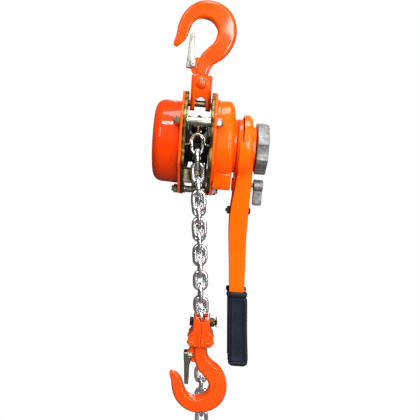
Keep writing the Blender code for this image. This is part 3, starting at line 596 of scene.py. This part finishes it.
def wire_guide():
    y = -41.8
    end = PLATE_IN - GAP
    half = [(9.3 * cos(pi * i / 24), 5.6 + 9.3 * sin(pi * i / 24)) for i in range(12, -1, -1)]
    half += [(9.45, 4.4), (9.9, 3.3), (10.8, 2.4), (12.0, 1.9), (end, 1.5)]
    path = [(-x, y, z) for x, z in half[::-1]] + [(x, y, z) for x, z in half[1:]]
    place(sweep(path, 1.3, 16), "chain_wire_guide_fine", BODY, NUT_ZINC, ["chain_wire_guide"], 60)


# The hand wheel and the lever ----------------------------------------------

def hand_wheel():
    """A cast wheel with eight shallow scallops round its rim."""
    profile = [(76.7, 6.9, 0.4), (76.7, 34.6, 1.6), (91.7, 34.6, 1.6), (91.7, 22.6, 0.9), (85.7, 21.6, 1.2)]
    profile = rounded(profile + [(85.7, 10.6, 0.4), (85.2, 9.8, 0.4), (85.2, 6.9, 0.2)], 0, 6)
    reach = radians(17)
    rings = []
    for i in range(288):
        a = 2 * pi * i / 288
        off = (a + radians(4) + pi / 8) % (pi / 4) - pi / 8
        dip = 3.0 * (1 - (off / reach) ** 2) if abs(off) < reach else 0.0
        ring = []
        for x, r in profile:
            share = min(1.0, max(0.0, (r - 26) / 7))
            ring.append((x, -(r - dip * share) * cos(a), (r - dip * share) * sin(a)))
        rings.append(ring)
    place(loft(rings, closed=True), "hand_wheel_fine", BODY, MATERIALS["grey_casting"], ["hand_wheel"], 25)


def shaft_nut():
    nut = cut(
        hexagon(85.9, 90.6, 10.0, turn=pi / 6, chamfer=0.9), turned([(85, 0), (85, 6.9), (92, 6.9), (92, 0)], 40)
    )
    place(nut, "shaft_nut_fine", BODY, NUT_ZINC, ["shaft_nut"])


# (z, x inner, x outer, half width) down the arm.
ARM = [
    (2, 55.6, 70.0, 30.0),
    (-14, 55.2, 73.0, 29.0),
    (-37, 54.0, 74.4, 24.0),
    (-57, 52.6, 74.4, 20.5),
    (-82, 50.0, 74.0, 18.0),
    (-102, 49.8, 74.1, 17.0),
    (-127, 51.2, 74.4, 16.0),
    (-161, 54.3, 76.2, 14.5),
    (-200, 57.6, 78.4, 13.0),
    (-291.5, 65.9, 86.4, 11.0),
]
HEAD_R = 43.0
HEAD_Z = 1.5
EDGE_R = 5.0


def arm_at(z):
    """(x inner, x outer, half width) of the arm at that height, with a smooth curve through the rows."""
    rows = smooth_rows(ARM, 8)
    if z >= rows[0][0]:
        return rows[0][1:]
    for above, below in zip(rows, rows[1:]):
        if below[0] <= z:
            t = (z - above[0]) / (below[0] - above[0])
            return tuple(p + t * (q - p) for p, q in zip(above[1:], below[1:]))
    return rows[-1][1:]


def softest(a, b, width):
    """The larger of two numbers, with a smooth change over the width."""
    return (a + b + sqrt((a - b) ** 2 + width**2)) / 2


def drop(inward):
    """How far the edge fillet falls below the face, that far in from the outline."""
    if inward >= EDGE_R:
        return 0.0
    return EDGE_R - sqrt(EDGE_R**2 - (EDGE_R - inward) ** 2) if inward > 0 else EDGE_R - 5 * inward


def shell_row(z, floor, columns):
    """One row of the lever's pressing, from its inner edge at -Y over the face to the edge at +Y."""
    _, out, arm_half = arm_at(z)
    rise = z - HEAD_Z
    circle = sqrt(max(0.01, HEAD_R**2 - rise**2)) if abs(rise) < HEAD_R else 0.0
    half = circle if z > 0 else softest(circle, arm_half, 3.0) - 0.2
    row = [(floor, -half, z), ((floor + out - EDGE_R) / 2, -half, z)]
    for i in range(columns + 1):
        t = 2 * i / columns - 1
        y = half * sin(t * pi / 2)
        head = 70.0 - drop(HEAD_R - sqrt(y * y + rise * rise)) if abs(rise) < HEAD_R + 3 else -99
        arm = out - drop(arm_half - abs(y)) if z < 2 else -99
        x = softest(head, arm, 0.5) - 0.02
        row.append((max(x, floor + 2), y, z))
    row += [((floor + out - EDGE_R) / 2, half, z), (floor, half, z)]
    return row


def lever_outer_shell():
    heights = [HEAD_Z + HEAD_R * cos(pi / 2 * i / 22) for i in range(1, 19)] + [9.01, 8.99, 6, 3, 0, -3]
    heights += [-6 - 2.2 * i for i in range(22)] + [-56 - 6 * i for i in range(41)]
    rows = []
    for z in sorted(set(heights), reverse=True):
        floor = 58.8 if z > 9 else (54.0 if z > -30 else arm_at(z)[0])
        rows.append(shell_row(z, floor, 36))
    points = [p for row in rows for p in row]
    count = len(rows[0])
    faces = []
    for i in range(len(rows) - 1):
        for j in range(count - 1):
            a = i * count + j
            faces.append((a, a + 1, a + 1 + count, a + count))
    shell = mesh_object(points, faces)
    out = sum((p.normal.x * p.area for p in shell.data.polygons))
    if out < 0:
        shell.data.flip_normals()
    wall = shell.modifiers.new("wall", "SOLIDIFY")
    wall.thickness = 2.3
    wall.offset = -1
    wall.use_even_offset = False
    baked(shell)
    holes = [turned([(60, 0), (60, r), (80, r), (80, 0)], 40, at) for r, at in ((13, (0, 0)), (3.4, (0, SELECTOR_Z)))]
    cut(shell, *holes)
    boss = turned(rounded([(68.5, 13), (68.5, 29.7), (75.4, 29.7, 2.2), (75.4, 13, 0.8)], 0.3, 6), 96)
    lever = together(shell, boss)
    # The lever wears the brighter, yellower copy of the orange paint: painted light.
    place(lever, "lever_outer_shell_fine", BODY, LEVER_ORANGE_PAINTED_LIGHT, ["lever_outer_shell"], 40)


def lever_inner_shell():
    profile = [(51.0, 18.5, 0.5), (53.2, 18.5, 0.5), (53.2, 36.3, 0.6), (57.4, 36.3, 0.5), (57.4, 38.5, 0.5)]
    profile.append((51.0, 38.5, 2.6))
    flange = turned(rounded(profile, 0, 6), 96)
    outline = [
        (-16.5, -30),
        (-16.5, -34),
        (-14.5, -60),
        (-11.5, -95),
        (11.5, -95),
        (14.5, -60),
        (16.5, -34),
        (16.5, -30),
    ]
    strap = sheet_metal(rounded(outline, 4, 6), 51.0, 53.2, [(0, LEVER_BOLT_Z, 2.9), (0, SELECTOR_Z, 3.4)], 0.6)
    boss = disc(48.9, 52.0, 9.0, 3.4, 0.6, (0, SELECTOR_Z))
    shell = together(flange, strap, boss)
    place(shell, "lever_inner_shell_fine", BODY, MATERIALS["painted_orange"], ["lever_inner_shell"], 40)


def lever_bolt():
    z = LEVER_BOLT_Z
    head = turned([(74.5, 0), (74.5, 5.0), (75.6, 5.0), (76.6, 4.2), (77.3, 2.6), (77.5, 0)], 48, (0, z))
    collar = disc(53.6, 71.4, 4.4, 0, 0.4, (0, z))
    bolt = together(disc(50.0, 75.0, 2.6, 0, 0.3, (0, z)), collar, head, thread(43.6, 51.0, 2.6, 0.9, (0, z)))
    place(bolt, "lever_bolt_shank", BODY, MATERIALS["dark_steel"], ["lever_bolt"])
    nut = hexagon(45.4, 50.6, 5.4, (0, z), pi / 6, 0.6)
    place(nut, "lever_bolt_nut", BODY, BROWN_STEEL, ["lever_bolt"])


GRIP = [
    (-196.0, 54.5, 80.4, 15.3, 0.0),
    (-197.1, 53.3, 81.6, 16.4, 0.0),
    (-199.0, 53.2, 81.9, 16.5, 0.0),
    (-201.3, 53.5, 82.1, 16.5, 0.0),
    (-202.9, 54.6, 81.3, 15.6, 0.0),
    (-204.5, 55.5, 81.1, 14.9, 0.0),
    (-206.1, 55.5, 82.3, 14.9, 0.1),
    (-209.5, 55.8, 82.9, 15.0, 0.6),
    (-215.5, 56.2, 83.5, 14.9, 1.0),
    (-252.5, 58.9, 86.5, 14.5, 1.0),
    (-285.5, 61.3, 89.9, 14.8, 1.0),
    (-292.5, 61.9, 90.6, 15.0, 0.8),
    (-296.0, 62.1, 90.9, 15.0, 0.2),
    (-297.5, 62.9, 90.4, 14.3, 0.0),
    (-298.7, 63.1, 90.5, 14.3, 0.0),
    (-300.1, 62.9, 90.9, 14.7, 0.0),
    (-303.1, 64.3, 89.9, 13.4, 0.0),
    (-305.5, 66.7, 88.1, 11.2, 0.0),
    (-307.0, 69.7, 85.2, 8.4, 0.0),
]


def grip_ring(z, x0, x1, half, panel):
    """A rounded section whose broad faces lie a little below two rails."""
    corner = 4.2
    quarter = [(corner * (1 - cos(pi / 12 * i)), corner * (1 - sin(pi / 12 * i))) for i in range(6, -1, -1)]
    flank = [(u, v) for v, u in quarter]
    sunk = [(corner + 1.4, 0.0), (corner + 2.3, 0.9 * panel), (corner + 3.4, 1.0 * panel)]
    ring = []
    for side in (-1, 1):
        face = [(x0 + u, side * (half - v)) for v, u in flank]
        face += [(x0 + u, side * (half - v)) for u, v in sunk]
        back = [(x0 + x1 - x, y) for x, y in face[::-1]]
        line = face + back
        ring += line if side < 0 else line[::-1]
    return [(x, y, z) for x, y in ring]


def lever_grip():
    rows = smooth_rows(GRIP, 3)
    grip = loft([grip_ring(z, x0, x1, half, min(1.0, max(0.0, panel))) for z, x0, x1, half, panel in rows])
    place(grip, "lever_grip_fine", BODY, MATERIALS["grip_rubber"], ["lever_grip"], 50)


def selector():
    z = SELECTOR_Z
    hub = turned(rounded([(78.3, 0, 0), (91.0, 0, 0), (91.0, 8.3, 1.2), (78.3, 8.3, 0.8)], 0, 5), 64, (0, z))
    rings = []
    for height, x0, x1, half in (
        (z + 1, 78.8, 90.6, 5.0),
        (-64, 78.6, 90.7, 5.0),
        (-74, 78.7, 90.7, 5.0),
        (-76, 79.3, 90.2, 4.4),
    ):
        ring = rounded([(x0, -half), (x1, -half), (x1, half), (x0, half)], 1.0, 4)
        rings.append([(x, y, height) for x, y in ring])
    knob = cast(together(hub, loft(rings)), 0.4, 3)
    hole = turn_to(disc(0, 3.4, 1.1, 0, 0.1), (0, 1, 0), (84.6, -6.6, -60.4))
    cut(knob, hole)
    place(knob, "selector_knob_fine", BODY, MATERIALS["grey_casting"], ["selector_knob"])
    shaft = disc(49.4, 80.0, 3.0, 0, 0.5, (0, z))
    place(shaft, "selector_shaft", BODY, BROWN_STEEL, ["selector_knob"])


# The hooks -----------------------------------------------------------------

# (x, z, width, depth) down the middle of the forging.
BAR = [
    (0.0, 0.4, 16.3, 15.5),
    (0.6, 6.0, 16.8, 15.5),
    (2.4, 13.0, 18.6, 15.5),
    (6.6, 21.0, 20.8, 16.0),
    (13.2, 26.8, 22.6, 17.0),
    (20.4, 33.2, 23.6, 18.0),
    (26.0, 43.0, 24.4, 18.5),
    (28.0, 55.5, 25.2, 19.0),
    (23.6, 69.4, 25.8, 19.0),
    (12.6, 78.6, 24.4, 19.0),
    (-1.6, 81.4, 22.2, 18.5),
    (-12.8, 78.0, 19.6, 17.0),
    (-21.2, 70.4, 17.8, 15.5),
    (-26.4, 59.6, 16.8, 14.5),
    (-29.6, 47.6, 14.6, 13.0),
    (-34.0, 40.0, 10.6, 11.0),
    (-36.6, 36.4, 7.4, 8.6),
    (-37.9, 34.4, 3.6, 5.0),
]
LATCH_PIN = (-13.3, 12.9)
SECTION = [(-1, -0.6), (-0.76, -1), (0.7, -0.88), (1, -0.46)]


def bar(neck):
    """The rows of BAR with a longer neck: everything beyond it is that much lower."""
    rows = [(x, z + neck * min(1.0, max(0.0, (z - 6) / 20)), width, depth) for x, z, width, depth in BAR]
    if neck:
        rows[0] = (0.0, 0.2 - neck, *rows[0][2:])
    return rows


def forging(neck):
    """The hook with its shank: flat sides with broad chamfers on the inside, and rounder outside."""
    rows = smooth_rows(bar(neck), 5)
    rings = []
    for i, (x, z, width, depth) in enumerate(rows):
        before = rows[max(i - 1, 0)]
        after = rows[min(i + 1, len(rows) - 1)]
        along = Vector((after[0] - before[0], after[1] - before[1])).normalized()
        if i == 0:
            along = Vector((0, 1))
        corners = [(u * width / 2, v * depth / 2) for u, v in SECTION + [(u, -v) for u, v in SECTION[::-1]]]
        plain = max(0.0, 1 - i / 12)
        ring = rounded(corners, 1.6 + 4.5 * plain, 4)
        rings.append([(x + along.y * u, v, z - along.x * u) for u, v in ring])
    shank = turn_to(disc(-21.0, 1.0, 6.2), (0, 0, 1))
    collar = turn_to(disc(-21.5, -16.5, 8.8), (0, 0, 1))
    x, z = LATCH_PIN
    boss = turn_to(disc(-4.2, 4.2, 5.3, 0, 0.6), (0, 1, 0), (x, 0, z))
    web = [(-12.5, 0.8), (0, 0.8), (0, 22), (-9, 22), (-16, 17.6), (-18.2, 10.6)]
    rib = loft([[(a, y, b) for a, b in web] for y in (-4.2, 4.2)])
    hook = cast(together(loft(rings), shank, collar, boss, rib), 0.55, 4)
    return cut(hook, turn_to(turned([(-9, 0), (-9, 1.9), (9, 1.9), (9, 0)], 32), (0, 1, 0), (x, 0, z)))


def latch(neck):
    """A folded channel: a web towards the tip's side and two ears round the pin."""
    x, z = LATCH_PIN
    end = 51.0 + 0.8 * neck
    outline = [(-22.0, 7.8, 3.0), (-8.8, 7.8, 4), (-8.8, 15.0, 3), (-11.2, 20.5, 4), (-13.0, 27, 5)]
    outline += [(-12.6, end, 1.6), (-18.4, end, 1.2), (-20.4, 24, 6), (-21.6, 12.0, 3)]
    outline = rounded(outline, 0, 8)
    strip = sheet_metal(outline, -6.2, 6.2, (), 1.1)
    strip.data.transform(Matrix.Rotation(-pi / 2, 4, "Z"))
    rows = [
        (6.0, -22.5, -9.2),
        (12.9, -21.6, -9.2),
        (24.0, -20.4, -14.6),
        (38.0, -19.4, -14.5),
        (end + 1, -18.4, -14.4),
    ]
    room = loft([[(a + 1.4, -4.7, h), (b + 9, -4.7, h), (b + 9, 4.7, h), (a + 1.4, 4.7, h)] for h, a, b in rows])
    cut(strip, room, turn_to(turned([(-9, 0), (-9, 2.1), (9, 2.1), (9, 0)], 32), (0, 1, 0), (x, 0, z)))
    return strip


def latch_pin():
    x, z = LATCH_PIN
    half = [
        (0, 0, 0),
        (0, 1.8, 0),
        (6.4, 1.8, 0.1),
        (6.4, 4.2, 0.2),
        (6.9, 4.2, 0.6),
        (8.0, 2.8, 1.4),
        (8.0, 1.0, 0.3),
        (7.5, 0.5, 0.2),
        (7.5, 0, 0),
    ]
    outline = rounded(half, 0, 4)
    sides = []
    for way in (1, -1):
        shape = turned(outline, 40)
        sides.append(turn_to(shape, (0, way, 0), (x, 0, z)))
    return together(*sides)


def hooks():
    for tag, where, neck, metal in (("top", HOOK, 0.0, LATCH_ZINC), ("load", LOAD_HOOK, LOAD_NECK, STAY_ZINC)):
        place(forging(neck), f"{tag}_hook_fine", where, MATERIALS["hook_orange"], [f"{tag}_hook"], 50)
        place(latch(neck), f"{tag}_latch_fine", where, metal, [f"{tag}_latch"], 35)
        place(latch_pin(), f"{tag}_latch_pin_fine", where, LATCH_ZINC, [f"{tag}_latch_pin"], 40)


def top_yoke():
    rows = [
        (43.6, 1.6),
        (44.2, 3.6),
        (46.2, 6.6),
        (53.0, 9.4),
        (61.5, 11.3),
        (70.0, 12.5),
        (86.6, 12.5),
        (89.1, 11.4),
    ]
    rings = []
    for z, half in rows:
        c = min(3.2, 0.4 * half)
        corners = [(-13.4, -half + c), (-13.4 + c, -half), (13.4 - c, -half), (13.4, -half + c)]
        corners += [(x, -y) for x, y in corners[::-1]]
        rings.append([(x, y, z) for x, y in corners])
    balls = []
    for y in (-8.6, 8.6):
        profile = [(8.4 * cos(pi * i / 16), 8.4 * sin(pi * i / 16)) for i in range(17)]
        ball = turned(profile, 32)
        ball.data.transform(Matrix.Translation((0, y, 78.7)))
        balls.append(ball)
    arch = rounded([(-6.9, 40, 0), (6.9, 40, 0), (6.9, 56.3, 4), (0, 64.5, 5), (-6.9, 56.3, 4)], 0, 6)
    slot = loft([[(a, y, b) for a, b in arch] for y in (-20, 20)])
    hollow = turn_to(turned([(55.0, 0), (55.0, 9.3), (73.6, 9.3), (73.6, 0)], 48), (0, 0, 1))
    bore = turn_to(turned([(60, 0), (60, 6.6), (95, 6.6), (95, 0)], 48), (0, 0, 1))
    hole = turned([(-20, 0), (-20, 4.6), (20, 4.6), (20, 0)], 40, (0, PIN_Z))
    yoke = combine(loft(rings), balls, "UNION")
    cut(yoke, slot, hollow, bore, hole)
    place(cast(yoke, 0.42, 4), "top_yoke_fine", BODY, MATERIALS["hook_orange"], ["top_yoke"], 60)


# The bottom block ----------------------------------------------------------

# (z, x at the outside, half depth) down each half of the yoke.
YOKE_ROWS = [
    (9.5, 9.4, 14.2),
    (7.0, 11.2, 14.6),
    (-8.0, 11.2, 14.8),
    (-10.5, 12.6, 14.8),
    (-17.0, 17.0, 14.8),
    (-27.5, 17.0, 14.8),
    (-31.0, 14.4, 13.4),
]


def load_yoke_half(side):
    """A cast half: its neck round the chain, its body round the hook's collar, ribs and sunk panels."""
    def ends(a, b):
        return sorted((side * a, side * b))

    rings = []
    for z, x, y in YOKE_ROWS:
        ring = rounded([(0.15, -y), (x, -y, 2.6), (x, y, 2.6), (0.15, y)], 0, 4)
        rings.append([(side * a, b, z) for a, b in ring])
    half = loft(rings)
    raised = []
    for front in (-1, 1):
        lip = [(0.15, -30.2), (2.2, -30.2), (2.2, 6.6), (0.15, 6.6)]
        rib = loft([[(side * a, front * y, z) for a, z in lip] for y in (9.0, 13.2)])
        for v in rib.data.vertices:
            if abs(v.co.y) > 13 and v.co.z < 0:
                v.co.y = front * 15.5
        raised.append(rib)
        boss = turn_to(turned([(0, 0), (0, 1.7), (15.2, 1.5), (15.2, 0)], 20), (0, front, 0), (side * 10.2, 0, -26.6))
        raised.append(boss)
    combine(half, raised, "UNION")
    cuts = []
    for front in (-1, 1):
        panel = sorted((front * 13.6, front * 20))
        cuts.append(box(ends(4.2, 8.0), panel, (-28.6, -12.6)))
        cuts.append(box(ends(7.9, 14.4), panel, (-24.2, -14.6)))
        cuts.append(box(ends(12.9, 18), sorted((front * 2, front * 9)), (-28, -18)))
    # Wide enough that the link clears both halves when the yoke swings.
    cuts.append(box(ends(-1, 4.1), (-13.1, 13.1), (-13, 20)))
    seat_z = PITCH + 4.6 - 5
    seat = turned([(-6.5, 0), (-6.5, 11.5), (6.5, 11.5), (6.5, 0)], 48)
    cuts.append(turn_to(seat, (0, 1, 0), (0, 0, seat_z)))
    corners = [(0, 5), (2, 5), (6.5, 14), (0, 14)]
    cuts.append(loft([[(side * a, y, b) for a, b in corners] for y in (-20, 20)]))
    cuts.append(turned([(-1 * side, 0), (-1 * side, 4.0), (20 * side, 4.0), (20 * side, 0)], 40))
    cuts.append(turn_to(turned([(-22.0, 0), (-22.0, 9.3), (-13.0, 9.3), (-13.0, 0)], 48), (0, 0, 1)))
    cuts.append(turn_to(turned([(-40, 0), (-40, 6.6), (-15, 6.6), (-15, 0)], 48), (0, 0, 1)))
    cuts += [
        turned([(-side, 0), (-side, 1.75), (20 * side, 1.75), (20 * side, 0)], 24, (y, -24.5)) for y in (-11.6, 11.6)
    ]
    cut(half, *cuts)
    return cast(half, 0.38, 4)


def load_yoke():
    for side, tag in ((-1, "left"), (1, "right")):
        name = f"load_yoke_{tag}"
        place(load_yoke_half(side), f"{name}_fine", BLOCK, MATERIALS["hook_orange"], [name], 60)
    for y, tag in ((-11.6, "front"), (11.6, "rear")):
        rivet = disc(-17.4, 17.4, 1.5, 0, 0.2, (y, -24.5), 24)
        heads = []
        for side in (-1, 1):
            dome = [(17.2, 0), (17.2, 2.8), (17.6, 2.7), (18.1, 2.0), (18.4, 1.0), (18.45, 0)]
            heads.append(turned([(side * x, r) for x, r in dome], 32, (y, -24.5)))
        name = f"load_yoke_rivet_{tag}"
        place(together(rivet, *heads), f"{name}_fine", BLOCK, MATERIALS["hook_orange"], [name])


def yoke_bolt():
    bolt = together(
        disc(-12.0, 13.0, 3.7, 0, 0.3),
        hexagon(-16.2, -11.4, 6.3, turn=pi / 6, chamfer=0.8),
        thread(12.0, 21.0, 3.7, 1.0),
    )
    place(bolt, "load_yoke_bolt_fine", BLOCK, MATERIALS["dark_steel"], ["load_yoke_bolt"])
    crown = turned(rounded([(15.4, 0, 0), (15.4, 5.6, 0), (17.8, 5.4, 0.6), (17.8, 0, 0)], 0, 4), 40)
    nut = combine(hexagon(11.5, 16.0, 6.6, turn=pi / 6), [crown], "UNION")
    slots = []
    for i in range(3):
        slot = box((16.2, 19), (-0.95, 0.95), (-8, 8))
        slot.data.transform(Matrix.Rotation(pi / 3 * i, 4, "X"))
        slots.append(slot)
    cut(nut, turned([(11, 0), (11, 3.95), (18.5, 3.95), (18.5, 0)], 40), *slots)
    place(nut, "load_yoke_nut_fine", BLOCK, BROWN_STEEL, ["load_yoke_nut"])
    eye = [(19.4, 1.5 * sin(2 * pi * i / 16), 6.0 + 1.5 * cos(2 * pi * i / 16)) for i in range(16)]
    pin = sweep([(19.4, 0, 4.6), (19.4, 0, 0), (19.4, 0, -4.6), (19.9, 0, -5.6), (20.6, 0, -6.4)], 0.75, 12)
    cotter = together(sweep(eye, 0.7, 10, True), pin)
    place(cotter, "load_yoke_cotter_fine", BLOCK, MATERIALS["dark_steel"], ["load_yoke_cotter"])


# The chain -----------------------------------------------------------------

def chain_link(z, edge_on, radius=WIRE / 2):
    """One welded link, its middle at height z, its weld half-way down one leg."""
    middle = 7.0
    straight = 5.0
    path = []
    for end in (1, -1):
        for i in range(13):
            a = pi * i / 12
            path.append((middle * cos(a) * end, (straight + middle * sin(a)) * end, 0.0))
        for t in (0.5, 0.2, 0.08, 0.0, -0.08, -0.2, -0.5):
            weld = end > 0
            swell = 0.38 * exp(-((t / 0.3) ** 2)) - (0.3 if abs(t) < 0.05 else 0.0)
            path.append((-middle * end, straight * t * 1.6 * end, swell if weld else 0.0))
    rings = []
    count = len(path)
    for i, (u, v, swell) in enumerate(path):
        along = (Vector(path[(i + 1) % count][:2]) - Vector(path[i - 1][:2])).normalized()
        out = Vector((along.y, -along.x))
        ring = []
        for j in range(16):
            a = 2 * pi * j / 16
            r = radius + swell
            p = Vector((u, v)) + out * r * cos(a)
            depth = r * sin(a)
            ring.append((depth, p.x, p.y + z) if edge_on else (p.x, depth, p.y + z))
        rings.append(ring)
    return loft(rings, closed=True)


def thickness(k):
    """The end link of a run is thinner, for a gap to the next run, and its neighbour reaches it."""
    return (2.7, 3.3)[k] if k < 2 else WIRE / 2


def chains():
    run = [chain_link(-PITCH * k, k % 2 == 1, thickness(k)) for k in range(FALL_LINKS)]
    place(together(*run), "load_chain_fine", FALL, MATERIALS["chain_steel"], ["load_chain"], 60)
    run = [chain_link(-PITCH * k, k % 2 == 0, thickness(k - 1)) for k in range(1, TAIL_LINKS)]
    place(together(*run), "tail_chain_fine", TAIL, MATERIALS["chain_steel"], ["tail_chain"], 60)
    arc = []
    for k in range(1, 6):
        piece = chain_link(0, k % 2 == 1, thickness(min(k - 1, 5 - k)))
        radius = UPRIGHT_R if k % 2 else FLAT_R
        piece.data.transform(Matrix.Rotation(-STEP * k, 4, "X") @ Matrix.Translation((0, -radius, 0)))
        arc.append(piece)
    # The links round the sheave take the dark brown steel: painted shade and a painted reflection of the orange
    # plates.
    place(together(*arc), "sheave_chain_fine", BODY, INNER_CHAIN_PAINTED_SHADE, ["sheave_chain"], 60)


def end_ring():
    z = -PITCH * (TAIL_LINKS - 1) - 6.2 - 14.0
    path = [(14 * cos(2 * pi * i / 64), 0, z + 14 * sin(2 * pi * i / 64)) for i in range(64)]
    radii = [2.4 + (0.3 if i in (47, 49) else 0.12 if i == 48 else 0.0) for i in range(64)]
    ring = sweep(path, radii, 16, True)
    place(ring, "chain_end_ring_fine", TAIL, MATERIALS["chain_steel"], ["chain_end_ring"], 60)


# The studio ----------------------------------------------------------------

def backdrop_shader(tree, seen, given):
    """White to the camera and a softer grey to everything else."""
    nodes = tree.nodes
    path = nodes.new("ShaderNodeLightPath")
    mix = nodes.new("ShaderNodeMixShader")
    tree.links.new(path.outputs["Is Camera Ray"], mix.inputs["Fac"])
    tree.links.new(given.outputs[0], mix.inputs[1])
    tree.links.new(seen.outputs[0], mix.inputs[2])
    return mix


def studio():
    world = bpy.data.worlds.new("studio")
    bpy.context.scene.world = world
    world.use_nodes = True
    tree = world.node_tree
    given = tree.nodes["Background"]
    given.inputs["Color"].default_value = (1, 1, 1, 1)
    given.inputs["Strength"].default_value = 0.14
    seen = tree.nodes.new("ShaderNodeBackground")
    seen.inputs["Color"].default_value = (1, 1, 1, 1)
    seen.inputs["Strength"].default_value = 1.0
    mix = backdrop_shader(tree, seen, given)
    tree.links.new(mix.outputs[0], tree.nodes["World Output"].inputs["Surface"])

    floor = mesh_object([(-4, -4, -0.66), (4, -4, -0.66), (4, 4, -0.66), (-4, 4, -0.66)], [(0, 1, 2, 3)])
    floor.name = "studio_floor"
    pale = bpy.data.materials.new("studio_floor")
    pale.use_nodes = True
    tree = pale.node_tree
    matt = tree.nodes.new("ShaderNodeBsdfDiffuse")
    matt.inputs["Color"].default_value = (0.12, 0.12, 0.12, 1)
    glow = tree.nodes.new("ShaderNodeEmission")
    glow.inputs["Strength"].default_value = 1.0
    mix = backdrop_shader(tree, glow, matt)
    tree.links.new(mix.outputs[0], tree.nodes["Material Output"].inputs["Surface"])
    floor.data.materials.append(pale)

    # (name, where, width, height, watts), each aimed at the middle of the hoist.
    lamps = [
        ("key", (-0.6, -1.1, 0.45), 0.3, 0.6, 8),
        ("window", (-0.17, -0.66, 0.72), 0.16, 0.16, 4),
        ("card", (0.42, -1.0, 0.42), 0.3, 0.5, 5),
        ("strip_right", (0.9, -0.8, -0.1), 0.12, 1.2, 10),
        ("overhead", (0.1, -0.1, 1.0), 0.6, 0.4, 12),
        ("front", (0.35, -1.2, 0.0), 0.25, 0.6, 8),
        ("rear", (0.3, 1.1, 0.2), 0.8, 0.8, 10),
    ]
    aim = Vector((0.02, 0.0, -0.25))
    for name, where, width, height, watts in lamps:
        lamp = bpy.data.lights.new(name, "AREA")
        lamp.shape = "RECTANGLE"
        lamp.size = width
        lamp.size_y = height
        lamp.energy = watts
        obj = bpy.data.objects.new(name, lamp)
        obj.location = where
        obj.rotation_euler = (aim - Vector(where)).to_track_quat("-Z", "Y").to_euler()
        bpy.context.scene.collection.objects.link(obj)


def camera():
    lens = bpy.data.cameras.new("camera")
    lens.sensor_width = 36
    lens.lens = 46.15
    obj = bpy.data.objects.new("camera", lens)
    down = radians(10)
    roll = radians(1.2)
    ahead = Vector((0, cos(down), -sin(down)))
    level = Vector((0, sin(down), cos(down)))
    right = cos(roll) * Vector((1, 0, 0)) - sin(roll) * level
    up = sin(roll) * Vector((1, 0, 0)) + cos(roll) * level
    turn = Matrix((right, up, -ahead)).transposed().to_4x4()
    obj.matrix_world = Matrix.Translation((0.0015, -0.7203, -0.1211)) @ turn
    bpy.context.scene.collection.objects.link(obj)
    bpy.context.scene.camera = obj
    bpy.context.scene.view_settings.view_transform = "Standard"


def main():
    for name, obj in frame["nodes"].items():
        obj.data.materials.clear()
        obj.data.materials.append(MATERIALS[SLOT_OF[name]])
    side_plates()
    stay_bolts()
    gear_cover()
    brake_cover()
    top_pin()
    chain_guide()
    wire_guide()
    hand_wheel()
    shaft_nut()
    lever_outer_shell()
    lever_inner_shell()
    lever_bolt()
    lever_grip()
    selector()
    hooks()
    top_yoke()
    load_yoke()
    yoke_bolt()
    chains()
    end_ring()
    studio()
    camera()


main()
